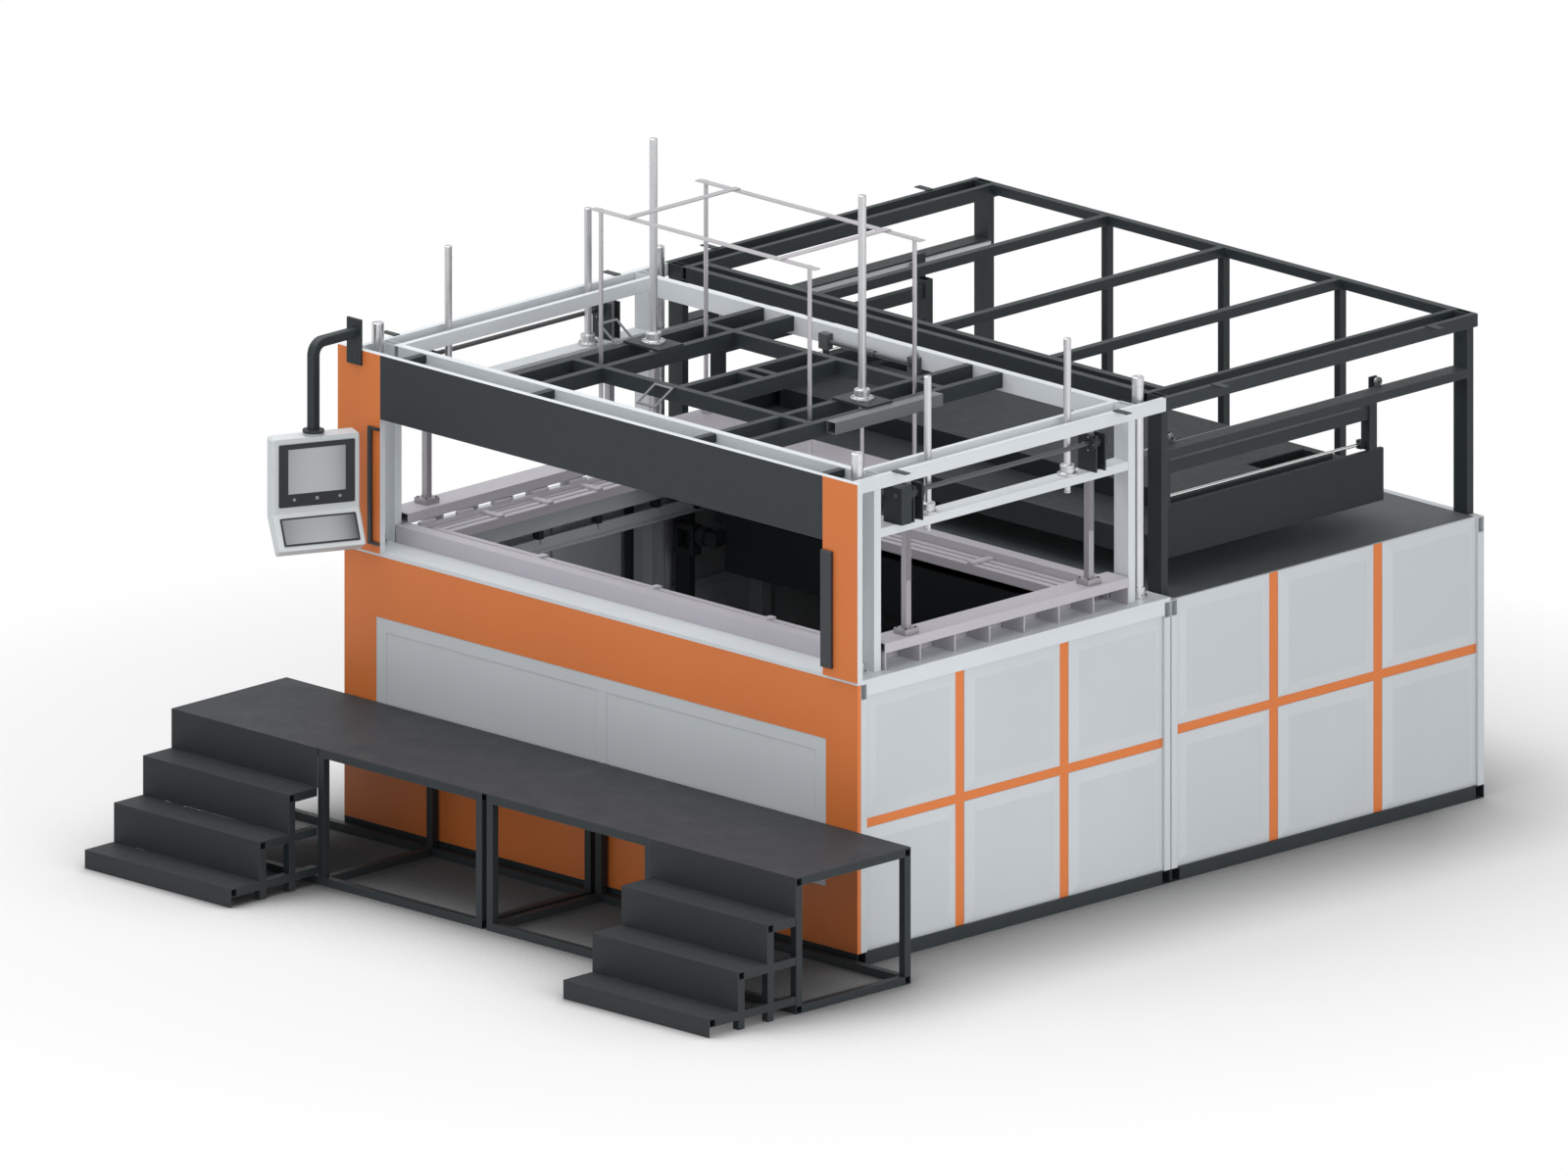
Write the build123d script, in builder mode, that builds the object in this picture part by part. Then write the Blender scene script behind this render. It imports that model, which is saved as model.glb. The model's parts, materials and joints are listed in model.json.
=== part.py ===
"""Room-size vacuum forming machine: a forming station with a clamp frame, a plug
platen and a forming table, an oven section behind it, and an operator platform.

Millimetres, +Z up.  X runs across the machine from its centre line, Y runs from the
operator towards the oven section, Z from the floor.  The origin lies on the floor at
the middle of the whole footprint, so the cabinet's front face is at y = face_y.
"""
from build123d import *
import math
import os

os.makedirs("parts", exist_ok=True)

# ------------------------------------------------------------------ driving dimensions
# Cabinet: two steel-framed sections bolted one behind the other
cabinet_width = 3526
front_depth = 2151
section_gap = 7
rear_depth = 2147
base_height = 66
base_width = 60
frame_wall = 3
front_deck_top = 1441
deck_thickness = 20
rear_deck_top = 1421
rear_deck_thickness = 6
end_tube_depth = 41
end_tube_height = 80
corner_post = 50
weld = 0.3
seat = 0.3

# Cladding
skin_depth = 28
panel_rim = 14
panel_bevel = 60
sheet = 2
cladding_gap = 0.3
strip_width = 60
strip_height = 47
strip_thickness = 12
front_strip_z = 711
rear_strip_z = 758
side_band_bottom = 1357
back_columns = 4
fascia_thickness = 24
inset_width = 3091
inset_bottom = 366
inset_top = 1113
inset_border = 70
inset_thickness = 20
inset_recess = 2

# Forming station
station_y = 1078
pit_width = 3080
pit_length = 1580
post_width = 98
post_depth = 47
post_centre_x = 1647
post_spacing_y = 1747
top_frame_top = 2436
side_rail_width = 30
side_rail_height = 65
cross_beam_width = 45
cross_beam_height = 95
mid_rail_top = 2157
mid_rail_height = 45
mid_rail_width = 95
portal_front = 23
board_thickness = 35
portal_top = 2445
portal_side = 1786
header_left = -1495
header_right = 1546
header_bottom = 2122
curtain_width = 72
curtain_thickness = 16
curtain_length = 592
curtain_bottom = 1485
header_bracket_size = 41
column_diameter = 60
column_top = 2555
column_spacing_y = 1928
collar_diameter = 92
collar_height = 55
spacer_x = (-1395, -513, 598, 1481)
hook_length = 93
hook_width = 39
hook_thickness = 5
curtain_channel = 22
curtain_cap = 12
curtain_round = 6
spacer_drop = 34
hook_offset = 44
rail_overhang = 6
cross_front_shift = 7
cross_rear_shift = 8
hook_reach = (771, 749)
rear_hook_y = (343, 331)

# Lattice under the top frame and the plug press
lattice_width = 41
lattice_height = 75
pair_centre_x = 717
pair_spacing = 206
centre_pair_spacing = 184
lattice_cross_spacing = 903
tie_spacing = 92
press_plate_x = 246
press_plate_y = 170
press_plate_thickness = 12
plug_body_diameter = 40
plug_body_top = 3477
plug_rod_diameter = 20
platen_width = 1558
platen_length = 774
platen_thickness = 20
platen_bottom = 2000
guide_rod_diameter = 22
guide_rod_top = 3180
guide_rod_spacing_y = 721
tie_bar_width = 40
tie_bar_thickness = 6
tie_bar_length = 1542
tie_bar_link_x = 518
plug_stroke = 500
fan_long = 150
fan_wide = 130
fan_bar = 12
fan_plate = 6
side_fan_tilt = 33.8
front_fan_tilt = 29.8
front_fan_x = -168
trunk_length = 740
trunk_width = 62
trunk_height = 60
air_depth = 40
air_block_width = 60
air_block_height = 78
air_left_x = -357
air_right_x = 252
air_z = 2362
air_pipe_diameter = 21
air_sleeve_diameter = 34
air_sleeve_length = 70
plug_nose_bottom = 2395
boss_diameter = 52
boss_height = 14
side_fan_shift = 68
plug_flange = 116
plug_neck = 76
flange_thickness = 10
neck_height = 50

# Clamp frame and its lift
clamp_bottom_gap = 0.3
clamp_front_width = 78
clamp_front_height = 86
clamp_front_length = 3176
clamp_front_y = 180
clamp_side_outer = 1713
clamp_side_width = 148
clamp_side_height = 50
clamp_rib_count = 8
clamp_rib_thickness = 8
clamp_rail_width = 38
clamp_rail_height = 46
rack_size = 34
rack_spacing_y = 1255
rack_top = 2350
foot_block_x = 84
foot_block_y = 92
foot_block_height = 28
clamp_body_diameter = 37
clamp_body_top = 2845
clamp_rod_diameter = 18
clamp_cylinder_spacing_y = 960
clamp_rod_stroke = 480
nose_drop = 37
rod_clearance = 0.1
sync_z = 2300
sync_diameter = 24
pinion_radius = 24.7
bearing_disc_diameter = 85
motor_diameter = 84
clamp_side_gap = 12
clamp_bars = 3
clamp_bar_pitch = 50
cleat_width = 40
cleat_height = 12
rod_engaged = 60
rack_slack = 8
nose_step = 6
bearing_inset = 40
foot_diameter = 34
foot_height = 10
pinion_width = 30
bearing_plate = 8
bearing_gap = 11
disc_thickness = 12
shaft_end = 14
gear_block_depth = 70
gear_block_gap = 46
motor_length = 230
motor_z = 2268
clamp_tube_wall = 5
clamp_flange = 100
clamp_neck = 72
foot_chamfer = 1.5
shaft_bore_reach = 100

# Rear frame above the oven section
rear_post_width = 95
rear_post_depth = 42
rear_beam_width = 41
rear_beam_height = 48
rear_post_pitch = 800
rear_pair_spacing = 102
front_beam_height = 75
rear_post_inset = 25
rear_rail_front = 6
rear_rail_back = 4
track_start = 35

# Upper oven
track_width = 19
track_top = 2150
track_height = 32
upper_half_width = 1556
upper_length = 1560
upper_bottom = 1557
upper_wall_height = 265
upper_front_y = 2262
oven_wall = 25
oven_sheet = 4
upper_shelf_z = 1742
upper_beam_bottom = 1979
upper_beam_height = 64
upper_beam_width = 40
upper_end_top = 2073
wheel_radius = 24
wheel_width = 15
wheel_inset = 70
axle_diameter = 14
heater_diameter = 16
heater_count = 10
front_wall_height = 123
corner_x = 60
corner_y = 50
wheel_plate = 10
chrome_rod = 16
chrome_rod_x = 1503
chrome_rod_z = 1849
shelf_width = 60
wheel_plate_drop = 4
rod_lug_half_width = 16
rod_lug_half_height = 22
reflector_height = 88
heater_height = 45

# Lower oven
lower_half_width = 1311
lower_length = 1560
lower_bottom = 955
lower_height = 286
lower_front_y = 2165
lower_heater_drop = 60
lower_lug_width = 73
lower_lug_depth = 40
lower_lug_height = 54
lower_rail_bottom = 1221
lower_rail_height = 59
lower_rail_web = 8
lower_rail_ledge = 40
lower_rail_start = 298
hanger_first_y = 718
hanger_pitch = 402
hanger_count = 9
hanger_width = 45
hanger_depth = 32
hanger_reach = 12
hanger_pin = 8
hanger_pin_length = 28
shoe_length = 160
shoe_width = 24
shoe_inset = 2
arm_thickness = 20
arm_overlap = 60
inner_post_x = 1610
inner_post_width = 95
inner_post_depth = 42
stud_x = 1712
stud_y = 1906
stud_width = 36
stud_depth = 27
drive_bracket_width = 135
drive_bracket_height = 150
drive_bracket_wall = 27
drive_bracket_top = 1158
drive_bracket_depth = 60
drive_gear_diameter = 94
drive_gear_width = 44
drive_hub_diameter = 40
drive_motor_diameter = 84
drive_motor_length = 90
drive_axis_z = 1112
drive_axis_x = 1360

# Forming table and vacuum unit
table_width = 2640
table_length = 1180
table_top = 930
table_thickness = 60
table_rod_diameter = 50
table_rod_x = 1050
table_bed_top = 620
table_bed_tube = 80
bush_height = 80
tank_diameter = 480
tank_length = 1300
tank_x = -600
tank_z = 340
tank_wall = 6
pump_x = 520
pump_foot_width = 180
pump_plate_width = 560
pump_body_diameter = 300
pump_body_length = 420
pump_motor_diameter = 220
pump_motor_length = 300
pump_axis_z = 300
ram_diameter = 80
ram_body_diameter = 150
bush_diameter = 90
leg_x = (500, 1380)
link_x = 120
rib_height = 40
pit_wall = 6
pit_wall_bottom = 1320
saddle_width = 300
saddle_thickness = 20
table_rib_width = 100
table_bed_wall = 5
bed_leg = 60
ram_seat_reach = 40
ram_seat_length = 220
ram_seat_thickness = 20
ram_body_drop = 20
ram_bore_drop = 10
rod_clear_bottom = 40
pump_setback = 120
pump_plate = 10

# Operator platform and stairs
platform_width = 4290
platform_depth = 786
platform_gap = 16
platform_top = 689
platform_plate = 5
platform_tube = 40
platform_tube_wall = 2.5
stair_width = 1002
stair_going = 200
stair_rise = 198
stair_count = 3
stair_plate = 4
centre_post_x = 37

# Operator panel
panel_axis_x = -1663
panel_axis_y = -313
arm_size = 48
arm_z = 2530
arm_bend = 62
mount_width = 95
mount_height = 230
mount_thickness = 14
mount_bottom = 2371
housing_width = 450
housing_depth = 94
housing_top = 2072
housing_front_height = 376
housing_back_height = 405
console_drop = 163
console_reach = 95
console_depth = 80
housing_sheet = 3
housing_bevel = 9
panel_turn = 65
flange_diameter = 107
flange_height = 12
bezel_width = 392
bezel_height = 316
bezel_thickness = 5
bezel_top_margin = 27
screen_width = 297
screen_height = 226
screen_margin = 26
key_diameter = 15
key_travel = 1.5
key_pitch = 118
key_from_bottom = 36
key_height = 3
console_panel_height = 141
key_clearance = 0.3
arm_round = 8
arm_wall = 4
flange_step = 16
plate_round = 6

# ------------------------------------------------------------------ derived sizes
half_width = cabinet_width / 2
rear_start = front_depth + section_gap
cabinet_depth = rear_start + rear_depth
stair_reach = platform_gap + platform_depth + stair_count * stair_going
face_y = -(cabinet_depth - stair_reach) / 2
front_deck_bottom = front_deck_top - deck_thickness
SIDES = (-1, 1)


def at(x, y, z=0.0):
    """A point given from the centre line, the cabinet's front face and the floor."""
    return Vector(x, face_y + y, z)


def finish(builder, name):
    """Label a finished piece and write it as its own STEP file."""
    builder.part.label = name
    export_step(builder.part, f"parts/{name}.step")


def tube_x(x0, x1, y, z, depth, height, wall=frame_wall):
    """Rectangular tube along X between x0 and x1, centred on y and z."""
    with BuildSketch(Plane(origin=at(x0, y, z), x_dir=(0, 1, 0), z_dir=(1, 0, 0))) as section:
        Rectangle(depth, height)
        if wall:
            Rectangle(depth - 2 * wall, height - 2 * wall, mode=Mode.SUBTRACT)
    extrude(section.sketch, amount=x1 - x0)


def tube_y(x, y0, y1, z, width, height, wall=frame_wall):
    """Rectangular tube along Y between y0 and y1, centred on x and z."""
    with BuildSketch(Plane(origin=at(x, y0, z), x_dir=(1, 0, 0), z_dir=(0, 1, 0))) as section:
        Rectangle(width, height)
        if wall:
            Rectangle(width - 2 * wall, height - 2 * wall, mode=Mode.SUBTRACT)
    extrude(section.sketch, amount=y1 - y0)


def tube_z(x, y, z0, z1, width, depth, wall=frame_wall):
    """Rectangular tube standing on z0, centred on x and y."""
    with BuildSketch(Plane(origin=at(x, y, z0))) as section:
        Rectangle(width, depth)
        if wall:
            Rectangle(width - 2 * wall, depth - 2 * wall, mode=Mode.SUBTRACT)
    extrude(section.sketch, amount=z1 - z0)


def block(x0, x1, y0, y1, z0, z1, mode=Mode.ADD):
    """Solid block between two corners."""
    with BuildSketch(Plane(origin=at((x0 + x1) / 2, (y0 + y1) / 2, z0))) as section:
        Rectangle(x1 - x0, y1 - y0)
    extrude(section.sketch, amount=z1 - z0, mode=mode)


def round_z(x, y, z0, z1, diameter, mode=Mode.ADD):
    """Round bar or bore standing on z0."""
    with BuildSketch(Plane(origin=at(x, y, z0))) as section:
        Circle(diameter / 2)
    extrude(section.sketch, amount=z1 - z0, mode=mode)


def round_x(x0, x1, y, z, diameter, mode=Mode.ADD):
    """Round bar or bore along X."""
    with BuildSketch(Plane(origin=at(x0, y, z), x_dir=(0, 1, 0), z_dir=(1, 0, 0))) as section:
        Circle(diameter / 2)
    extrude(section.sketch, amount=x1 - x0, mode=mode)


def round_y(x, y0, y1, z, diameter, mode=Mode.ADD):
    """Round bar or bore along Y."""
    with BuildSketch(Plane(origin=at(x, y0, z), x_dir=(1, 0, 0), z_dir=(0, 1, 0))) as section:
        Circle(diameter / 2)
    extrude(section.sketch, amount=y1 - y0, mode=mode)


def thirds(start, end):
    """The two places that split a length into three equal bays."""
    return [start + (end - start) / 3, start + 2 * (end - start) / 3]


# ------------------------------------------------------------------ cabinet frame
sections = ((0, front_depth), (rear_start, cabinet_depth))

# Base: the end cross tubes run the full width and show their open ends, the side tubes
# fit between them, and the two inner cross tubes fit between the side tubes
base_span = half_width - base_width - weld
with BuildPart() as base_frame:
    for start, end in sections:
        for y in (start + base_width / 2, end - base_width / 2):
            tube_x(-half_width, half_width, y, base_height / 2, base_width, base_height)
        for y in thirds(start, end):
            tube_x(-base_span, base_span, y, base_height / 2, base_width, base_height)
        for side in SIDES:
            tube_y(side * (half_width - base_width / 2), start + base_width + weld,
                   end - base_width - weld, base_height / 2, base_width, base_height)
finish(base_frame, "base_frame")

# Corner posts stand on the base; full-width end tubes cap them, side rails carry the decks
post_x = half_width - corner_post / 2
end_tube_bottom = rear_deck_top - end_tube_height
with BuildPart() as cabinet_frame:
    for index, (start, end) in enumerate(sections):
        first = start + (fascia_thickness + seat if index == 0 else 0)
        top = front_deck_bottom - weld if index == 0 else rear_deck_top
        for y in (first + end_tube_depth / 2, end - end_tube_depth / 2):
            tube_x(-half_width, half_width, y, end_tube_bottom + (top - end_tube_bottom) / 2,
                   end_tube_depth, top - end_tube_bottom)
            for side in SIDES:
                tube_z(side * post_x, y, base_height + weld, end_tube_bottom - weld,
                       corner_post, end_tube_depth)
        rail_top = front_deck_bottom - weld if index == 0 else rear_deck_top - rear_deck_thickness
        for side in SIDES:
            tube_y(side * (half_width - skin_depth - 2 * weld - corner_post / 2),
                   first + end_tube_depth + weld, end - end_tube_depth - weld,
                   rail_top - corner_post / 2, corner_post, corner_post)
finish(cabinet_frame, "cabinet_frame")

# ------------------------------------------------------------------ cladding
def outward(face, across, up):
    """Plane on the back of the cladding: local x runs along the wall, z points outwards."""
    if face == "back":
        return Plane(origin=at(across, cabinet_depth - skin_depth, up),
                     x_dir=(-1, 0, 0), z_dir=(0, 1, 0))
    side = 1 if face == "right" else -1
    return Plane(origin=at(side * (half_width - skin_depth), across, up),
                 x_dir=(0, side, 0), z_dir=(side, 0, 0))


def pressed_panel(face, a0, a1, z0, z1):
    """Pressed sheet panel: a folded rim and a raised field with wide bevelled sides."""
    plane = outward(face, (a0 + a1) / 2, (z0 + z1) / 2)
    width = a1 - a0
    height = z1 - z0
    with BuildSketch(plane) as rim:
        Rectangle(width, height)
        Rectangle(width - 2 * sheet, height - 2 * sheet, mode=Mode.SUBTRACT)
    extrude(rim.sketch, amount=panel_rim)
    for inset, mode in ((0, Mode.ADD), (sheet, Mode.SUBTRACT)):
        with BuildSketch(plane.offset(panel_rim - inset)) as foot:
            Rectangle(width - 2 * inset, height - 2 * inset)
        with BuildSketch(plane.offset(skin_depth - inset)) as field:
            Rectangle(width - 2 * panel_bevel, height - 2 * panel_bevel)
        loft([foot.sketch.face(), field.sketch.face()], mode=mode)


def wall_cells(edges, lines, width):
    """Split a stretch of wall between its edges into cells, leaving room for the strips."""
    cuts = [edges[0]]
    for line in lines:
        cuts += [line - width / 2 - cladding_gap, line + width / 2 + cladding_gap]
    cuts.append(edges[1])
    return list(zip(cuts[0::2], cuts[1::2]))


front_wall = (fascia_thickness + seat + end_tube_depth + cladding_gap,
              front_depth - end_tube_depth - cladding_gap)
rear_wall = (rear_start + end_tube_depth + cladding_gap,
             cabinet_depth - end_tube_depth - cladding_gap)
back_wall = (-(half_width - corner_post - cladding_gap), half_width - corner_post - cladding_gap)
back_lines = [back_wall[0] + (back_wall[1] - back_wall[0]) * step / back_columns
              for step in range(1, back_columns)]
cladding_bottom = base_height + cladding_gap
walls = {
    "front": (front_wall, thirds(0, front_depth), front_strip_z,
              side_band_bottom - cladding_gap),
    "rear": (rear_wall, thirds(rear_start, cabinet_depth), rear_strip_z,
             rear_deck_top - cladding_gap),
    "back": (back_wall, back_lines, front_strip_z, end_tube_bottom - cladding_gap),
}


def clad(face, wall_name):
    """All pressed panels of one stretch of wall, in two rows."""
    edges, lines, strip_z, top = walls[wall_name]
    rows = wall_cells((cladding_bottom, top), [strip_z], strip_height)
    for a0, a1 in wall_cells(edges, lines, strip_width):
        for z0, z1 in rows:
            pressed_panel(face, a0, a1, z0, z1)


def strip_grid(face, wall_name):
    """The coloured strips between the panels, cut as one flat grid."""
    edges, lines, strip_z, top = walls[wall_name]
    middle = (edges[0] + edges[1]) / 2
    level = (cladding_bottom + top) / 2
    plane = outward(face, middle, level)
    turn = -1 if face in ("back", "left") else 1
    with BuildSketch(plane) as grid:
        with Locations((0, strip_z - level)):
            Rectangle(edges[1] - edges[0], strip_height)
        with Locations(*[(turn * (line - middle), 0) for line in lines]):
            Rectangle(strip_width, top - cladding_bottom)
    extrude(grid.sketch, amount=strip_thickness)


with BuildPart() as cladding_panels:
    for wall_face in ("right", "left"):
        clad(wall_face, "front")
        clad(wall_face, "rear")
    clad("back", "back")
finish(cladding_panels, "cladding_panels")

with BuildPart() as cladding_strips:
    for wall_face in ("right", "left"):
        strip_grid(wall_face, "front")
        strip_grid(wall_face, "rear")
    strip_grid("back", "back")
finish(cladding_strips, "cladding_strips")

# Front board with a window for the inset access panel
fascia_middle = (base_height + front_deck_bottom) / 2
inset_middle = (inset_bottom + inset_top) / 2
inset_height = inset_top - inset_bottom
with BuildPart() as front_fascia:
    with BuildSketch(Plane(origin=at(0, 0, fascia_middle), x_dir=(1, 0, 0),
                           z_dir=(0, -1, 0))) as board:
        Rectangle(cabinet_width, front_deck_bottom - base_height - 2 * weld)
        with Locations((0, inset_middle - fascia_middle)):
            Rectangle(inset_width, inset_height, mode=Mode.SUBTRACT)
    extrude(board.sketch, amount=-fascia_thickness)
finish(front_fascia, "front_fascia")

bay_width = (inset_width - 3 * inset_border) / 2
bay_height = inset_height - 2 * inset_border
bay_x = (bay_width + inset_border) / 2
inset_face = Plane(origin=at(0, inset_recess, inset_middle), x_dir=(1, 0, 0), z_dir=(0, -1, 0))
with BuildPart() as front_inset:
    with BuildSketch(inset_face) as border:
        Rectangle(inset_width - 2 * cladding_gap, inset_height - 2 * cladding_gap)
        with Locations((-bay_x, 0), (bay_x, 0)):
            Rectangle(bay_width, bay_height, mode=Mode.SUBTRACT)
    extrude(border.sketch, amount=-inset_thickness)
    with BuildSketch(inset_face.offset(-inset_recess)) as leaves:
        with Locations((-bay_x, 0), (bay_x, 0)):
            Rectangle(bay_width - 2 * cladding_gap, bay_height - 2 * cladding_gap)
    extrude(leaves.sketch, amount=-(inset_thickness - inset_recess))
finish(front_inset, "front_inset")

# ------------------------------------------------------------------ decks
pit_y0 = station_y - pit_length / 2
pit_y1 = station_y + pit_length / 2
with BuildPart() as front_deck:
    block(-half_width, half_width, 0, pit_y0, front_deck_bottom, front_deck_top)
    block(-half_width, half_width, pit_y1, front_depth, front_deck_bottom, front_deck_top)
    for side in SIDES:
        inner = side * pit_width / 2
        outer = side * half_width
        block(min(inner, outer), max(inner, outer), pit_y0 + weld, pit_y1 - weld,
              front_deck_bottom, front_deck_top)
        band_x = side * (half_width - skin_depth / 2)
        tube_y(band_x, front_wall[0], front_wall[1],
               (side_band_bottom + front_deck_bottom - weld) / 2, skin_depth,
               front_deck_bottom - weld - side_band_bottom, sheet)
finish(front_deck, "front_deck")

rear_deck_x = half_width - skin_depth - 2 * weld
with BuildPart() as rear_deck:
    block(-rear_deck_x, rear_deck_x, rear_start + end_tube_depth + weld,
          cabinet_depth - end_tube_depth - weld, rear_deck_top - rear_deck_thickness + weld,
          rear_deck_top)
finish(rear_deck, "rear_deck")

# ------------------------------------------------------------------ front portal
portal_y0 = -portal_front
portal_y1 = board_thickness - portal_front
with BuildPart() as portal_posts:
    block(-portal_side, header_left, portal_y0, portal_y1, front_deck_top + seat, portal_top)
    block(header_right, portal_side, portal_y0, portal_y1, front_deck_top + seat, portal_top)
finish(portal_posts, "portal_posts")

with BuildPart() as header_board:
    block(header_left + weld, header_right - weld, portal_y0, portal_y1,
          header_bottom, portal_top)
finish(header_board, "header_board")

# Safety light bars: the right one shows its back, the left one its open channel
curtain_top = curtain_bottom + curtain_length
curtain_y0 = portal_y0 - seat - curtain_thickness
with BuildPart() as light_bars:
    block(header_right, header_right + curtain_width, curtain_y0, portal_y0 - seat,
          curtain_bottom, curtain_top)
    fillet(light_bars.edges().filter_by(Axis.X).sort_by(Axis.Y)[0:2],
           curtain_round)
    block(header_left - curtain_width, header_left, curtain_y0, portal_y0 - seat,
          curtain_bottom, curtain_top)
    block(header_left - curtain_width + curtain_channel, header_left + 1, curtain_y0 - 1,
          portal_y0 - seat + 1, curtain_bottom + curtain_cap, curtain_top - curtain_cap,
          mode=Mode.SUBTRACT)
finish(light_bars, "light_bars")

# ------------------------------------------------------------------ forming station frame
station_posts_y = (station_y - post_spacing_y / 2, station_y + post_spacing_y / 2)
mid_rail_z = mid_rail_top - mid_rail_height / 2
rack_y = (station_y - rack_spacing_y / 2, station_y + rack_spacing_y / 2)
clamp_cylinder_y = (station_y - clamp_cylinder_spacing_y / 2,
                    station_y + clamp_cylinder_spacing_y / 2)
rack_hole = rack_size + rack_slack
nose_diameter = clamp_body_diameter - nose_step
with BuildPart() as station_side_frames:
    for side in SIDES:
        for y in station_posts_y:
            tube_z(side * post_centre_x, y, front_deck_top + seat, top_frame_top,
                   post_width, post_depth)
        tube_y(side * post_centre_x, station_posts_y[0] + post_depth / 2 + weld,
               station_posts_y[1] - post_depth / 2 - weld, mid_rail_z,
               mid_rail_width, mid_rail_height)
        for y in rack_y:
            block(side * post_centre_x - rack_hole / 2, side * post_centre_x + rack_hole / 2,
                  y - rack_hole / 2, y + rack_hole / 2, mid_rail_top - mid_rail_height - 1,
                  mid_rail_top + 1, mode=Mode.SUBTRACT)
        for y in clamp_cylinder_y:
            round_z(side * post_centre_x, y, mid_rail_top - mid_rail_height - 1,
                    mid_rail_top + 1, nose_diameter + 2 * seat, mode=Mode.SUBTRACT)
finish(station_side_frames, "station_side_frames")

inner_rail_x = post_centre_x - post_width / 2 - weld - side_rail_width / 2
outer_rail_x = post_centre_x + post_width / 2 + weld + side_rail_width / 2
side_rail_z = top_frame_top - side_rail_height / 2
cross_span = inner_rail_x - side_rail_width / 2 - weld
cross_front_y = station_posts_y[0] - cross_front_shift
cross_rear_y = station_posts_y[1] - cross_rear_shift
cross_beam_z = top_frame_top - cross_beam_height / 2
with BuildPart() as station_top_frame:
    for side in SIDES:
        tube_y(side * outer_rail_x, portal_y1 + weld, front_depth + rail_overhang - weld,
               side_rail_z,
               side_rail_width, side_rail_height)
        tube_y(side * inner_rail_x, cross_front_y - cross_beam_width / 2,
               cross_rear_y + cross_beam_width / 2, side_rail_z, side_rail_width,
               side_rail_height)
    for y in (cross_front_y, cross_rear_y):
        tube_x(-cross_span, cross_span, y, cross_beam_z, cross_beam_width, cross_beam_height)
finish(station_top_frame, "station_top_frame")

# Spacers from the header to the front beam, and guard hooks lying on the outer rails
hook_y = (station_y - hook_reach[0], station_y + hook_reach[1],
          rear_start + rear_hook_y[0], cabinet_depth - rear_hook_y[1])
with BuildPart() as spacers_and_hooks:
    for x in spacer_x:
        tube_y(x, portal_y1 + weld, cross_front_y - cross_beam_width / 2 - weld,
               portal_top - spacer_drop, header_bracket_size, header_bracket_size)
    for side in SIDES:
        for y in hook_y:
            hook_x = side * (outer_rail_x + hook_offset)
            block(hook_x - hook_length / 2, hook_x + hook_length / 2, y - hook_width / 2,
                  y + hook_width / 2, top_frame_top + seat, top_frame_top + seat + hook_thickness)
finish(spacers_and_hooks, "spacers_and_hooks")

# Four polished guide columns standing in collars on the deck
column_y = (station_y - column_spacing_y / 2, station_y + column_spacing_y / 2)
with BuildPart() as guide_columns:
    for side in SIDES:
        for y in column_y:
            round_z(side * post_centre_x, y, front_deck_top + seat,
                    front_deck_top + seat + collar_height, collar_diameter)
            round_z(side * post_centre_x, y, front_deck_top, front_deck_top + collar_height + 1,
                    column_diameter + 2 * seat, mode=Mode.SUBTRACT)
            round_z(side * post_centre_x, y, front_deck_top + seat, column_top, column_diameter)
    chamfer(guide_columns.edges().group_by(Axis.Z)[-1], 2)
finish(guide_columns, "guide_columns")

# ------------------------------------------------------------------ lattice and plug press
lattice_z = top_frame_top - lattice_height / 2
lattice_y0 = cross_front_y + cross_beam_width / 2 + weld
lattice_y1 = cross_rear_y - cross_beam_width / 2 - weld
cross_lines = (station_y - lattice_cross_spacing / 2, station_y + lattice_cross_spacing / 2)
pair_inner = pair_centre_x - pair_spacing / 2
pair_outer = pair_centre_x + pair_spacing / 2
half_beam = lattice_width / 2
centre_x = centre_pair_spacing / 2
plate_z0 = top_frame_top + seat
plate_z1 = plate_z0 + press_plate_thickness
with BuildPart() as lattice_frame:
    for side in SIDES:
        for x in (pair_inner, pair_outer):
            tube_y(side * x, lattice_y0, lattice_y1, lattice_z, lattice_width, lattice_height)
        tube_y(side * centre_x, cross_lines[0] + half_beam + weld,
               cross_lines[1] - half_beam - weld, lattice_z, lattice_width, lattice_height)
        for y in cross_lines:
            x0 = side * (pair_inner + half_beam + weld)
            x1 = side * (pair_outer - half_beam - weld)
            tube_x(min(x0, x1), max(x0, x1), y, lattice_z, lattice_width, lattice_height)
        tie_x = centre_x - half_beam - weld
        tube_x(-tie_x, tie_x, station_y + side * tie_spacing / 2, lattice_z, lattice_width,
               lattice_height)
        plate_x = side * pair_centre_x
        block(plate_x - press_plate_x / 2, plate_x + press_plate_x / 2,
              station_y - press_plate_y / 2, station_y + press_plate_y / 2, plate_z0, plate_z1)
        round_z(plate_x, station_y, plate_z0 - 1, plate_z1 + 1,
                plug_body_diameter + 2 * seat, mode=Mode.SUBTRACT)
    for y in cross_lines:
        tube_x(-pair_inner + half_beam + weld, pair_inner - half_beam - weld, y, lattice_z,
               lattice_width, lattice_height)
finish(lattice_frame, "lattice_frame")

# Cooling fan frames cut from plate, and a cable trunk beside the right pair of beams


def fan_frame(base, direction, across):
    """Flat rectangular ring that starts at base and reaches along direction."""
    normal = direction.cross(across)
    middle = base + direction * (fan_long / 2) + normal * (fan_plate / 2)
    with BuildSketch(Plane(origin=middle, x_dir=across, z_dir=normal)) as ring:
        Rectangle(fan_wide, fan_long)
        Rectangle(fan_wide - 2 * fan_bar, fan_long - 2 * fan_bar, mode=Mode.SUBTRACT)
    extrude(ring.sketch, amount=fan_plate / 2, both=True)


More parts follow.
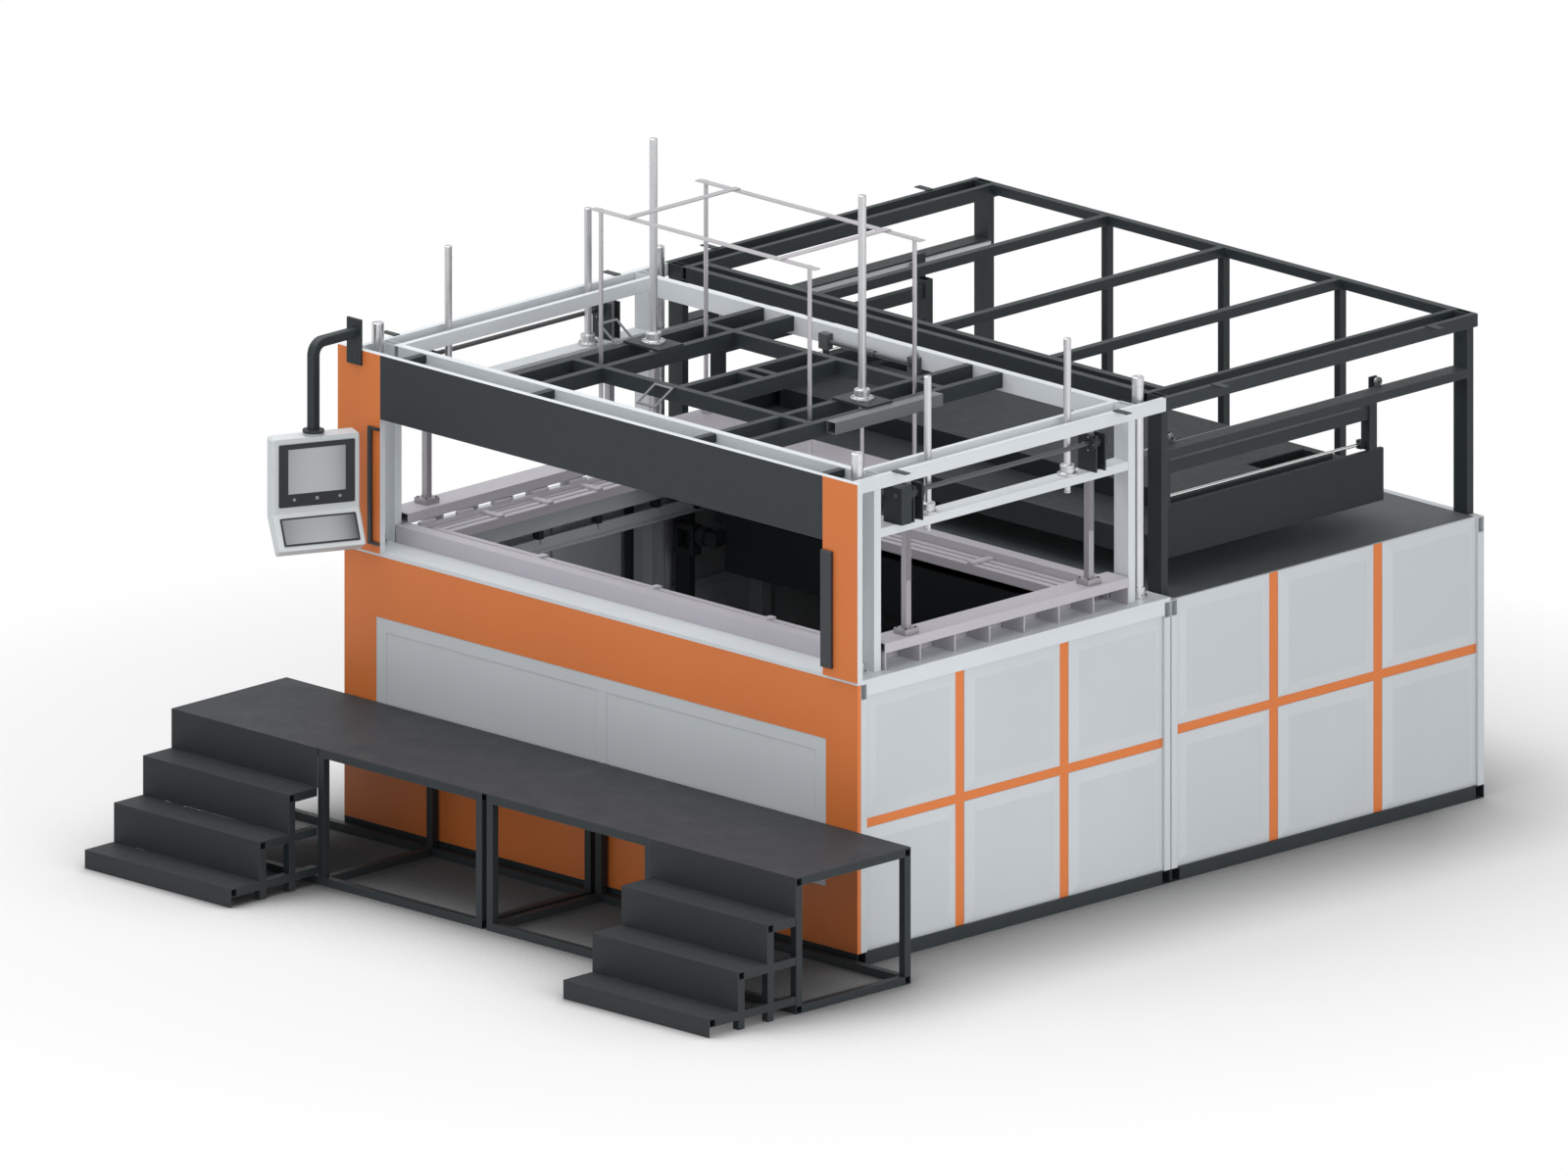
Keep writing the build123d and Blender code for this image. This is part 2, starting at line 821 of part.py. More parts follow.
with BuildPart() as lattice_fittings:
    rise = math.radians(side_fan_tilt)
    fan_frame(at(-pair_outer - half_beam - seat, station_y - side_fan_shift,
                 top_frame_top + seat),
              Vector(-math.cos(rise), 0, math.sin(rise)), Vector(0, 1, 0))
    dip = math.radians(front_fan_tilt)
    fan_frame(at(front_fan_x, cross_lines[0] - half_beam - seat, top_frame_top - fan_plate),
              Vector(0, -math.cos(dip), -math.sin(dip)), Vector(1, 0, 0))
    trunk_x = pair_outer + half_beam + seat + trunk_width / 2
    tube_y(trunk_x, station_y - trunk_length / 2, station_y + trunk_length / 2,
           top_frame_top - trunk_height / 2, trunk_width, trunk_height, sheet)
finish(lattice_fittings, "lattice_fittings")

# Compressed air unit on the rear cross beam: filter, regulator and the pipe between them
air_y1 = cross_rear_y - cross_beam_width / 2 - seat
with BuildPart() as air_unit:
    for x in (air_left_x, air_right_x):
        block(x - air_block_width / 2, x + air_block_width / 2, air_y1 - air_depth, air_y1,
              air_z - air_block_height / 2, air_z + air_block_height / 2)
    round_x(air_left_x + air_block_width / 2, air_right_x - air_block_width / 2,
            air_y1 - air_depth / 2, air_z, air_pipe_diameter)
    round_x((air_left_x + air_right_x - air_sleeve_length) / 2,
            (air_left_x + air_right_x + air_sleeve_length) / 2,
            air_y1 - air_depth / 2, air_z, air_sleeve_diameter)
finish(air_unit, "air_unit")


def cylinder_body(x, y, mount_z, widths, heights, depth):
    """Air cylinder: body, neck and flange over its mount, nose below it, bore for the rod.

    widths are the body, neck, flange, nose and rod diameters; heights are the nose's foot
    and the body's top.
    """
    body, neck, flange, nose, rod = widths
    nose_bottom, body_top = heights
    foot = mount_z + seat
    round_z(x, y, nose_bottom, mount_z + 1, nose)
    round_z(x, y, foot, foot + flange_thickness, flange)
    round_z(x, y, foot, foot + neck_height, neck)
    round_z(x, y, foot, body_top, body)
    round_z(x, y, nose_bottom - 1, nose_bottom + depth, rod + 2 * rod_clearance,
            mode=Mode.SUBTRACT)


plug_bore_depth = plug_stroke + 120
clamp_bore_depth = clamp_rod_stroke + 100
with BuildPart() as plug_cylinders:
    for side in SIDES:
        cylinder_body(side * pair_centre_x, station_y, plate_z1,
                      (plug_body_diameter, plug_neck, plug_flange, plug_body_diameter,
                       plug_rod_diameter), (plug_nose_bottom, plug_body_top),
                      plug_bore_depth)
finish(plug_cylinders, "plug_cylinders")

clamp_nose_bottom = mid_rail_top - mid_rail_height - nose_drop
with BuildPart() as clamp_cylinders:
    for side in SIDES:
        for y in clamp_cylinder_y:
            cylinder_body(side * post_centre_x, y, mid_rail_top,
                          (clamp_body_diameter, clamp_neck, clamp_flange, nose_diameter,
                           clamp_rod_diameter), (clamp_nose_bottom, clamp_body_top),
                          clamp_bore_depth)
finish(clamp_cylinders, "clamp_cylinders")

# Clamp cylinder rods, each with its pressure foot, one moving body apiece
for side, side_name in zip(SIDES, ("left", "right")):
    for y, place in zip(clamp_cylinder_y, ("front", "rear")):
        with BuildPart() as clamp_rod:
            rod_x = side * post_centre_x
            round_z(rod_x, y, clamp_nose_bottom - seat - foot_height, clamp_nose_bottom - seat,
                    foot_diameter)
            round_z(rod_x, y, clamp_nose_bottom - seat - foot_height,
                    clamp_nose_bottom + clamp_rod_stroke + rod_engaged, clamp_rod_diameter)
            chamfer(clamp_rod.edges().group_by(Axis.Z)[0], foot_chamfer)
        finish(clamp_rod, f"clamp_rod_{place}_{side_name}")

# Plug platen with its four guide rods, two piston rods and the flats that tie them above
platen_top = platen_bottom + platen_thickness
rod_y = (station_y - guide_rod_spacing_y / 2, station_y + guide_rod_spacing_y / 2)
with BuildPart() as plug_platen:
    block(-platen_width / 2, platen_width / 2, station_y - platen_length / 2,
          station_y + platen_length / 2, platen_bottom, platen_top)
    for side in SIDES:
        for y in (rod_y[0], station_y, rod_y[1]):
            round_z(side * pair_centre_x, y, platen_top, platen_top + boss_height, boss_diameter)
finish(plug_platen, "plug_platen")

rod_foot = platen_top + boss_height + seat
with BuildPart() as platen_rods:
    for side in SIDES:
        for y in rod_y:
            round_z(side * pair_centre_x, y, rod_foot, guide_rod_top, guide_rod_diameter)
        round_z(side * pair_centre_x, station_y, rod_foot,
                plug_nose_bottom + plug_stroke + rod_engaged, plug_rod_diameter)
    tie_z0 = guide_rod_top + seat
    tie_z1 = tie_z0 + tie_bar_thickness
    for y in rod_y:
        block(-tie_bar_length / 2, tie_bar_length / 2, y - tie_bar_width / 2,
              y + tie_bar_width / 2, tie_z0, tie_z1)
    for side in SIDES:
        link_x = side * tie_bar_link_x
        block(link_x - tie_bar_width / 2, link_x + tie_bar_width / 2,
              rod_y[0] - tie_bar_width / 2, rod_y[1] + tie_bar_width / 2, tie_z1 + seat,
              tie_z1 + seat + tie_bar_thickness)
finish(platen_rods, "platen_rods")

# ------------------------------------------------------------------ clamp frame
clamp_z0 = front_deck_top + clamp_bottom_gap
clamp_z1 = clamp_z0 + clamp_front_height
clamp_side_z0 = clamp_z1 + weld
clamp_side_z1 = clamp_side_z0 + clamp_side_height
clamp_reach = station_y - clamp_front_y - clamp_front_width / 2
clamp_side_inner = clamp_side_outer - clamp_side_width
side_y0 = station_posts_y[0] + post_depth / 2 + clamp_side_gap
side_y1 = station_posts_y[1] - post_depth / 2 - clamp_side_gap
bar_z = clamp_z0 + clamp_rail_height / 2
bar_first = clamp_reach - clamp_front_width / 2 - clamp_bar_pitch / 2
bar_inner_y = bar_first - (clamp_bars - 1) * clamp_bar_pitch - clamp_rail_width / 2
side_bar_first = clamp_side_inner - clamp_bar_pitch / 2 + weld
side_bar_last = side_bar_first - (clamp_bars - 1) * clamp_bar_pitch
rib_x0 = clamp_side_inner + 2 * seat
rib_pitch = (side_y1 - side_y0 - clamp_rib_thickness) / (clamp_rib_count - 1)
cleat_z0 = clamp_z0 + clamp_rail_height + weld
with BuildPart() as clamp_members:
    for side in SIDES:
        tube_x(-clamp_front_length / 2, clamp_front_length / 2, station_y + side * clamp_reach,
               (clamp_z0 + clamp_z1) / 2, clamp_front_width, clamp_front_height,
               clamp_tube_wall)
        x0 = side * clamp_side_inner
        x1 = side * clamp_side_outer
        tube_y((x0 + x1) / 2, side_y0, side_y1, (clamp_side_z0 + clamp_side_z1) / 2,
               clamp_side_width, clamp_side_height, clamp_tube_wall)
        for index in range(clamp_bars):
            tube_x(-clamp_side_inner, clamp_side_inner,
                   station_y + side * (bar_first - index * clamp_bar_pitch), bar_z,
                   clamp_rail_width, clamp_rail_height)
            tube_y(side * (side_bar_first - index * clamp_bar_pitch),
                   station_y - bar_inner_y + weld, station_y + bar_inner_y - weld, bar_z,
                   clamp_rail_width, clamp_rail_height)
    for side in SIDES:
        for index in range(clamp_rib_count):
            y = side_y0 + index * rib_pitch
            x0 = side * (clamp_front_length / 2 + seat if index in (0, clamp_rib_count - 1)
                         else rib_x0)
            x1 = side * (clamp_side_outer - seat)
            block(min(x0, x1), max(x0, x1), y, y + clamp_rib_thickness, clamp_z0, clamp_z1)
        for share in (-1, 0, 1):
            x0 = side * clamp_side_inner
            x1 = side * (side_bar_last - clamp_rail_width / 2)
            y = station_y + share * bar_inner_y / 2
            block(min(x0, x1), max(x0, x1), y - cleat_width / 2, y + cleat_width / 2,
                  cleat_z0, cleat_z0 + cleat_height)
        y0 = station_y + side * (clamp_reach - clamp_front_width / 2 - weld)
        y1 = station_y + side * bar_inner_y
        for share in (-1, 0, 1):
            x = share * clamp_side_inner / 2
            block(x - cleat_width / 2, x + cleat_width / 2, min(y0, y1), max(y0, y1),
                  cleat_z0, cleat_z0 + cleat_height)
finish(clamp_members, "clamp_members")

with BuildPart() as rack_posts:
    for side in SIDES:
        for y in rack_y:
            foot_top = clamp_side_z1 + seat + foot_block_height
            block(side * post_centre_x - foot_block_x / 2, side * post_centre_x + foot_block_x / 2,
                  y - foot_block_y / 2, y + foot_block_y / 2, clamp_side_z1 + seat, foot_top)
            block(side * post_centre_x - rack_size / 2, side * post_centre_x + rack_size / 2,
                  y - rack_size / 2, y + rack_size / 2, foot_top, rack_top)
finish(rack_posts, "rack_posts")

# ------------------------------------------------------------------ lift drive
sync_x = post_centre_x + rack_size / 2 + seat + pinion_radius
bearing_top = sync_z + bearing_disc_diameter / 2
bearing_x0 = post_centre_x - bearing_inset
bearing_x1 = sync_x + bearing_disc_diameter / 2
gear_block_bottom = mid_rail_top + seat


def shaft_span(drive):
    """Start and end of a lift shaft; the driven one reaches into the gear unit."""
    end = pinion_width / 2 + bearing_gap + bearing_plate + disc_thickness + shaft_end
    start = rack_y[0] - (gear_block_gap + gear_block_depth if drive else end)
    return start, rack_y[1] + end


for side, side_name in zip(SIDES, ("left", "right")):
    with BuildPart() as sync_shaft:
        y0, y1 = shaft_span(side > 0)
        round_y(side * sync_x, y0, y1, sync_z, sync_diameter)
        for y in rack_y:
            round_y(side * sync_x, y - pinion_width / 2, y + pinion_width / 2, sync_z,
                    2 * pinion_radius)
    finish(sync_shaft, f"sync_shaft_{side_name}")

shaft_bore = sync_diameter + 2 * rod_clearance
with BuildPart() as lift_drives:
    for side in SIDES:
        for y in rack_y:
            for turn in SIDES:
                inner = y + turn * (pinion_width / 2 + bearing_gap)
                outer = inner + turn * bearing_plate
                x0 = side * bearing_x0
                x1 = side * bearing_x1
                block(min(x0, x1), max(x0, x1), min(inner, outer), max(inner, outer),
                      mid_rail_top + seat, bearing_top)
                disc = outer + turn * disc_thickness
                round_y(side * sync_x, min(outer, disc), max(outer, disc), sync_z,
                        bearing_disc_diameter)
        round_y(side * sync_x, rack_y[0] - shaft_bore_reach, rack_y[1] + shaft_bore_reach,
                sync_z, shaft_bore, mode=Mode.SUBTRACT)
    gear_y1 = rack_y[0] - gear_block_gap
    gear_y0 = gear_y1 - gear_block_depth
    block(bearing_x0, bearing_x1, gear_y0, gear_y1, gear_block_bottom, bearing_top)
    round_x(bearing_x0 - motor_length, bearing_x0 - weld, (gear_y0 + gear_y1) / 2, motor_z,
            motor_diameter)
    round_y(sync_x, gear_y0 - 1, gear_y1 + 1, sync_z, shaft_bore, mode=Mode.SUBTRACT)
finish(lift_drives, "lift_drives")

# ------------------------------------------------------------------ rear frame
rear_top_z = top_frame_top - rear_beam_height / 2
rear_posts_y = (rear_start + rear_post_depth / 2 + weld, cabinet_depth - rear_post_inset)
with BuildPart() as rear_posts:
    for side in SIDES:
        for y in rear_posts_y:
            tube_z(side * post_centre_x, y, rear_deck_top + seat, top_frame_top,
                   rear_post_width, rear_post_depth)
    for step in (-1, 0, 1):
        tube_z(step * rear_post_pitch, rear_posts_y[1], rear_deck_top + seat,
               top_frame_top - rear_beam_height - weld, rear_beam_width, rear_beam_width)
finish(rear_posts, "rear_posts")

rear_rail_y0 = front_depth + rear_rail_front
rear_rail_y1 = cabinet_depth - rear_rail_back
beam_a_y = rear_start + rear_beam_width / 2
beam_b_y = beam_a_y + rear_pair_spacing
rear_beam_y = rear_rail_y1 - rear_beam_width / 2
rear_inner_x = post_centre_x - rear_post_width / 2 - weld - side_rail_width / 2
rear_outer_x = post_centre_x + rear_post_width / 2 + weld + side_rail_width / 2
rear_span = rear_inner_x - side_rail_width / 2 - weld
with BuildPart() as rear_beams:
    for side in SIDES:
        for x in (rear_inner_x, rear_outer_x):
            tube_y(side * x, rear_rail_y0, rear_rail_y1, side_rail_z, side_rail_width,
                   side_rail_height)
        tube_y(side * post_centre_x, rear_posts_y[0] + rear_post_depth / 2 + weld,
               rear_posts_y[1] - rear_post_depth / 2 - weld, mid_rail_z, mid_rail_width,
               mid_rail_height)
    for y in (beam_a_y, beam_b_y):
        tube_x(-rear_span, rear_span, y, top_frame_top - front_beam_height / 2,
               rear_beam_width, front_beam_height)
    tube_x(-rear_span, rear_span, rear_beam_y, rear_top_z, rear_beam_width, rear_beam_height)
    for step in (-1, 0, 1):
        tube_y(step * rear_post_pitch, beam_b_y + rear_beam_width / 2 + weld,
               rear_beam_y - rear_beam_width / 2 - weld, rear_top_z, rear_beam_width,
               rear_beam_height)
finish(rear_beams, "rear_beams")

track_outer = post_centre_x - post_width / 2 - seat
track_inner = track_outer - track_width
track_y0 = station_posts_y[0] + track_start
track_y1 = rear_posts_y[1] - rear_post_depth / 2
with BuildPart() as oven_tracks:
    for side in SIDES:
        x0 = side * track_inner
        x1 = side * track_outer
        block(min(x0, x1), max(x0, x1), track_y0, track_y1, track_top - track_height, track_top)
finish(oven_tracks, "oven_tracks")

# ------------------------------------------------------------------ upper oven
upper_back_y = upper_front_y + upper_length
upper_middle_y = (upper_front_y + upper_back_y) / 2
upper_wall_top = upper_bottom + upper_wall_height
reflector_z = upper_bottom + reflector_height
heater_z = upper_bottom + heater_height
inner_half = upper_half_width - oven_wall - weld
with BuildPart() as upper_oven_box:
    for side in SIDES:
        x0 = side * upper_half_width
        x1 = side * (upper_half_width - oven_wall)
        block(min(x0, x1), max(x0, x1), upper_front_y, upper_back_y, upper_bottom,
              upper_wall_top)
    for y0 in (upper_front_y, upper_back_y - oven_wall):
        block(-inner_half, inner_half, y0, y0 + oven_wall, upper_bottom,
              upper_bottom + front_wall_height)
    block(-inner_half, inner_half, upper_front_y + oven_wall + weld,
          upper_back_y - oven_wall - weld, reflector_z, reflector_z + oven_sheet)
    for side in SIDES:
        ledge = inner_half - shelf_width if side > 0 else -inner_half
        block(ledge, ledge + shelf_width, upper_front_y + oven_wall + weld,
              upper_back_y - oven_wall - weld, upper_shelf_z, upper_shelf_z + oven_sheet)
finish(upper_oven_box, "upper_oven_box")

heater_y0 = upper_front_y + oven_wall
heater_pitch = (upper_length - 2 * oven_wall) / heater_count
with BuildPart() as upper_heaters:
    for index in range(heater_count):
        round_x(-inner_half, inner_half, heater_y0 + (index + 0.5) * heater_pitch, heater_z,
                heater_diameter)
finish(upper_heaters, "upper_heaters")

# Carriage: four corner posts on the side walls, two beams, wheel plates with stub axles
carriage_x = upper_half_width - corner_x / 2
wheel_y = (upper_front_y + wheel_inset, upper_back_y - wheel_inset)
wheel_z = track_top + wheel_radius
wheel_x0 = track_inner + 1
with BuildPart() as upper_carriage:
    for side in SIDES:
        for y in wheel_y:
            tube_z(side * carriage_x, y, upper_wall_top + seat, upper_end_top, corner_x,
                   corner_y)
            x0 = side * (upper_half_width - wheel_plate)
            x1 = side * upper_half_width
            block(min(x0, x1), max(x0, x1), y - corner_y / 2, y + corner_y / 2,
                  upper_end_top + weld, wheel_z + wheel_radius - wheel_plate_drop)
            end = side * (wheel_x0 + wheel_width)
            round_x(min(x1, end), max(x1, end), y, wheel_z, axle_diameter)
        tube_y(side * carriage_x, wheel_y[0] + corner_y / 2 + weld,
               wheel_y[1] - corner_y / 2 - weld, upper_beam_bottom + upper_beam_height / 2,
               upper_beam_width, upper_beam_height)
        round_y(side * chrome_rod_x, wheel_y[0] + corner_y, wheel_y[1] - corner_y,
                chrome_rod_z, chrome_rod)
        for y in wheel_y:
            inward = 1 if y < upper_middle_y else -1
            y0 = y + inward * (corner_y / 2 + weld)
            y1 = y + inward * corner_y
            block(side * chrome_rod_x - rod_lug_half_width, side * chrome_rod_x + rod_lug_half_width,
                  min(y0, y1), max(y0, y1), chrome_rod_z - rod_lug_half_height,
                  chrome_rod_z + rod_lug_half_height)
finish(upper_carriage, "upper_carriage")

for side, side_name in zip(SIDES, ("left", "right")):
    for y, place in zip(wheel_y, ("front", "rear")):
        with BuildPart() as wheel:
            x0 = side * wheel_x0
            x1 = side * (wheel_x0 + wheel_width)
            round_x(min(x0, x1), max(x0, x1), y, wheel_z, 2 * (wheel_radius - seat))
            round_x(min(x0, x1) - 1, max(x0, x1) + 1, y, wheel_z,
                    axle_diameter + 2 * rod_clearance, mode=Mode.SUBTRACT)
        finish(wheel, f"oven_wheel_{place}_{side_name}")

# ------------------------------------------------------------------ lower oven
pit_x = pit_width / 2
lower_back_y = lower_front_y + lower_length
lower_top = lower_bottom + lower_height
lower_inner = lower_half_width - oven_wall - weld
lower_heater_z = lower_top - lower_heater_drop
ledge_top = lower_rail_bottom + lower_rail_web
shoe_x1 = pit_x - hanger_reach - shoe_inset
shoe_x0 = shoe_x1 - shoe_width
shoe_y = (lower_front_y + shoe_length / 2, lower_back_y - shoe_length / 2)
with BuildPart() as lower_oven_box:
    for side in SIDES:
        x0 = side * lower_half_width
        x1 = side * (lower_half_width - oven_wall)
        block(min(x0, x1), max(x0, x1), lower_front_y, lower_back_y, lower_bottom, lower_top)
    for y0 in (lower_front_y, lower_back_y - oven_wall):
        block(-lower_inner, lower_inner, y0, y0 + oven_wall, lower_bottom, lower_top)
    block(-lower_inner, lower_inner, lower_front_y + oven_wall + weld,
          lower_back_y - oven_wall - weld, lower_bottom, lower_bottom + oven_wall)
    for side in SIDES:
        x0 = side * (lower_half_width + weld)
        x1 = side * (lower_half_width + lower_lug_width)
        block(min(x0, x1), max(x0, x1), lower_front_y, lower_front_y + lower_lug_depth,
              lower_top - lower_lug_height, lower_top)
        for y in shoe_y:
            x0 = side * (lower_half_width - arm_overlap)
            x1 = side * shoe_x1
            block(min(x0, x1), max(x0, x1), y - shoe_length / 2, y + shoe_length / 2,
                  lower_top + seat, lower_top + seat + arm_thickness)
            x0 = side * shoe_x0
            block(min(x0, x1), max(x0, x1), y - shoe_length / 2, y + shoe_length / 2,
                  ledge_top + seat, lower_top + seat)
finish(lower_oven_box, "lower_oven_box")

with BuildPart() as lower_heaters:
    for index in range(heater_count):
        y = lower_front_y + oven_wall + (index + 0.5) * heater_pitch
        round_x(-lower_inner, lower_inner, y, lower_heater_z, heater_diameter)
finish(lower_heaters, "lower_heaters")

# Two angle rails hang under the decks by blocks and bolts; the oven's shoes slide on them.
# Posts stand behind the rails, and each front post carries a chain drive on a bracket.
inner_post_y = rear_start + base_width / 2
post_top = end_tube_bottom - weld
rail_z1 = lower_rail_bottom + lower_rail_height
rail_y1 = cabinet_depth - end_tube_depth - 2 * weld
drive_y1 = inner_post_y - inner_post_depth / 2 - weld
drive_y0 = drive_y1 - drive_bracket_depth
bracket_x1 = inner_post_x
bracket_x0 = bracket_x1 - drive_bracket_width
gear_x0 = drive_axis_x + drive_motor_diameter / 2 + weld
with BuildPart() as lower_oven_rails:
    for side in SIDES:
        web_x0 = side * pit_x
        web_x1 = side * (pit_x + lower_rail_web)
        ledge_x0 = side * (pit_x - lower_rail_ledge)
        block(min(web_x0, web_x1), max(web_x0, web_x1), lower_rail_start, rail_y1,
              lower_rail_bottom, rail_z1)
        block(min(ledge_x0, web_x0), max(ledge_x0, web_x0), lower_rail_start, rail_y1,
              lower_rail_bottom, ledge_top)
        hanger_x0 = side * (pit_x - hanger_reach)
        hanger_x1 = side * (pit_x - hanger_reach + hanger_width)
        for index in range(hanger_count):
            y = hanger_first_y + index * hanger_pitch
            hanger_top = pit_wall_bottom if y < front_depth else rear_deck_top - rear_deck_thickness
            block(min(hanger_x0, hanger_x1), max(hanger_x0, hanger_x1), y - hanger_depth / 2,
                  y + hanger_depth / 2, rail_z1 + weld, hanger_top - weld)
            round_z(side * (pit_x - hanger_pin), y, rail_z1 - hanger_pin_length,
                    rail_z1 + weld, hanger_pin)
        tube_z(side * inner_post_x, inner_post_y, base_height + seat, post_top,
               inner_post_width, inner_post_depth)
        tube_z(side * stud_x, stud_y, base_height + seat,
               front_deck_bottom - corner_post - 2 * weld, stud_width, stud_depth)
        tube_y(side * (bracket_x0 + bracket_x1) / 2, drive_y0, drive_y1,
               drive_bracket_top - drive_bracket_height / 2, drive_bracket_width,
               drive_bracket_height, drive_bracket_wall)
        gear_x1 = gear_x0 + drive_gear_width
        for start, end, diameter in ((gear_x0, gear_x1, drive_gear_diameter),
                                     (gear_x1, bracket_x0 - weld, drive_hub_diameter)):
            x0 = side * start
            x1 = side * end
            round_x(min(x0, x1), max(x0, x1), (drive_y0 + drive_y1) / 2, drive_axis_z, diameter)
        round_y(side * drive_axis_x, drive_y0, drive_y0 + drive_motor_length, drive_axis_z,
                drive_motor_diameter)
finish(lower_oven_rails, "lower_oven_rails")

# ------------------------------------------------------------------ forming table
table_bottom = table_top - table_thickness
bed_bottom = table_bed_top - table_bed_tube
table_lines = thirds(0, front_depth)
rod_bottom = base_height + rod_clear_bottom
with BuildPart() as forming_table:
    block(-table_width / 2, table_width / 2, station_y - table_length / 2,
          station_y + table_length / 2, table_bottom + rib_height + weld, table_top)
    for y in table_lines:
        block(-table_width / 2, table_width / 2, y - table_rib_width / 2,
              y + table_rib_width / 2, table_bottom, table_bottom + rib_height)
        for side in SIDES:
            round_z(side * table_rod_x, y, rod_bottom, table_bottom - seat, table_rod_diameter)
    round_z(0, station_y, rod_bottom, table_bottom + rib_height, ram_diameter)
finish(forming_table, "forming_table")

with BuildPart() as table_bed:
    for y in table_lines:
        tube_x(-leg_x[1] - table_bed_tube / 2, leg_x[1] + table_bed_tube / 2, y,
               table_bed_top - table_bed_tube / 2, table_bed_tube, table_bed_tube,
               table_bed_wall)
        for side in SIDES:
            for x in leg_x:
                tube_z(side * x, y, base_height + seat, bed_bottom - weld, bed_leg, bed_leg)
            round_z(side * table_rod_x, y, table_bed_top, table_bed_top + bush_height,
                    bush_diameter)
            round_z(side * table_rod_x, y, bed_bottom - 1, table_bed_top + bush_height + 1,
                    table_rod_diameter + 2 * rod_clearance, mode=Mode.SUBTRACT)
    for side in SIDES:
        tube_y(side * link_x, table_lines[0] + table_bed_tube / 2 + weld,
               table_lines[1] - table_bed_tube / 2 - weld, table_bed_top - table_bed_tube / 2,
               table_bed_tube, table_bed_tube, table_bed_wall)
    block(-link_x - ram_seat_reach, link_x + ram_seat_reach, station_y - ram_seat_length / 2,
          station_y + ram_seat_length / 2, table_bed_top + seat,
          table_bed_top + seat + ram_seat_thickness)
    round_z(0, station_y, rod_bottom - ram_body_drop, table_bed_top + bush_height,
            ram_body_diameter)
    round_z(0, station_y, rod_bottom - ram_bore_drop, table_bed_top + bush_height + 1,
            ram_diameter + 2 * rod_clearance, mode=Mode.SUBTRACT)
finish(table_bed, "table_bed")

# Pit walls: plates hanging under the deck at the front and both sides of the opening.  The
# rear stays open, because the lower oven comes in there.
wall_top = front_deck_bottom - weld
wall_end = front_depth - end_tube_depth - weld
with BuildPart() as pit_frame:
    for side in SIDES:
        x0 = side * pit_x
        x1 = side * (pit_x + pit_wall)
        block(min(x0, x1), max(x0, x1), pit_y0, wall_end, pit_wall_bottom, wall_top)
    block(-pit_x, pit_x, pit_y0 - pit_wall, pit_y0 - weld, pit_wall_bottom, wall_top)
finish(pit_frame, "pit_frame")

# ------------------------------------------------------------------ vacuum tank and pump
tank_y = (rear_start + cabinet_depth) / 2
rear_lines = thirds(rear_start, cabinet_depth)
pump_y = rear_lines[0] + pump_setback
pump_foot = base_height + seat + pump_plate
with BuildPart() as vacuum_unit:
    for y in rear_lines:
        block(tank_x - saddle_width / 2, tank_x + saddle_width / 2, y - saddle_thickness / 2,
              y + saddle_thickness / 2, base_height + seat, tank_z)
        round_y(tank_x, y - saddle_thickness, y + saddle_thickness, tank_z,
                tank_diameter + 2 * seat, mode=Mode.SUBTRACT)
    with BuildSketch(Plane(origin=at(tank_x, tank_y - tank_length / 2, tank_z),
                           x_dir=(1, 0, 0), z_dir=(0, 1, 0))) as shell:
        Circle(tank_diameter / 2)
        Circle(tank_diameter / 2 - tank_wall, mode=Mode.SUBTRACT)
    extrude(shell.sketch, amount=tank_length)
    for y in (tank_y - tank_length / 2, tank_y + tank_length / 2 - tank_wall):
        round_y(tank_x, y, y + tank_wall, tank_z, tank_diameter)
    block(pump_x - pump_plate_width / 2, pump_x + pump_plate_width / 2,
          rear_lines[0] - base_width / 2, rear_lines[1] + base_width / 2, base_height + seat,
          pump_foot)
    block(pump_x - pump_foot_width / 2, pump_x + pump_foot_width / 2, pump_y,
          pump_y + pump_body_length, pump_foot, pump_axis_z)
    round_y(pump_x, pump_y, pump_y + pump_body_length, pump_axis_z, pump_body_diameter)
    round_y(pump_x, pump_y + pump_body_length, pump_y + pump_body_length + pump_motor_length,
            pump_axis_z, pump_motor_diameter)
finish(vacuum_unit, "vacuum_unit")

# ------------------------------------------------------------------ platform and stairs
platform_y1 = -platform_gap
platform_y0 = platform_y1 - platform_depth
module_width = platform_width / 2
plate_bottom = platform_top - platform_plate
frame_z = plate_bottom - platform_tube / 2 - seat
stair_outer = platform_width / 2
stair_inner = stair_outer - stair_width
tube = platform_tube
wall = platform_tube_wall
post_lines = (centre_post_x, stair_inner - tube / 2, stair_outer - tube / 2)
with BuildPart() as platform_deck:
    for side in SIDES:
        x0 = side * cladding_gap
        x1 = side * module_width
        block(min(x0, x1), max(x0, x1), platform_y0, platform_y1, plate_bottom, platform_top)
finish(platform_deck, "platform_deck")

edge_lines = (platform_y0 + tube / 2, platform_y1 - tube / 2)
stair_edge = (stair_inner + tube / 2, stair_outer - tube / 2)
with BuildPart() as platform_frame:
    for side in SIDES:
        x0 = side * (centre_post_x - tube / 2)
        x1 = side * module_width
        for y in edge_lines:
            tube_x(min(x0, x1), max(x0, x1), y, frame_z, tube, tube, wall)
            tube_x(min(x0, x1), max(x0, x1), y, tube / 2, tube, tube, wall)
            for x in post_lines:
                tube_z(side * x, y, tube + weld, frame_z - tube / 2 - weld, tube, tube, wall)
        for x in post_lines:
            for z in (tube / 2, frame_z):
                tube_y(side * x, edge_lines[0] + tube / 2 + weld, edge_lines[1] - tube / 2 - weld,
                       z, tube, tube, wall)
        for x, reach in ((centre_post_x, inset_recess - seat), (half_width - 2 * tube, -seat)):
            tube_y(side * x, platform_y1 + seat, reach, frame_z, tube, tube, wall)
finish(platform_frame, "platform_frame")

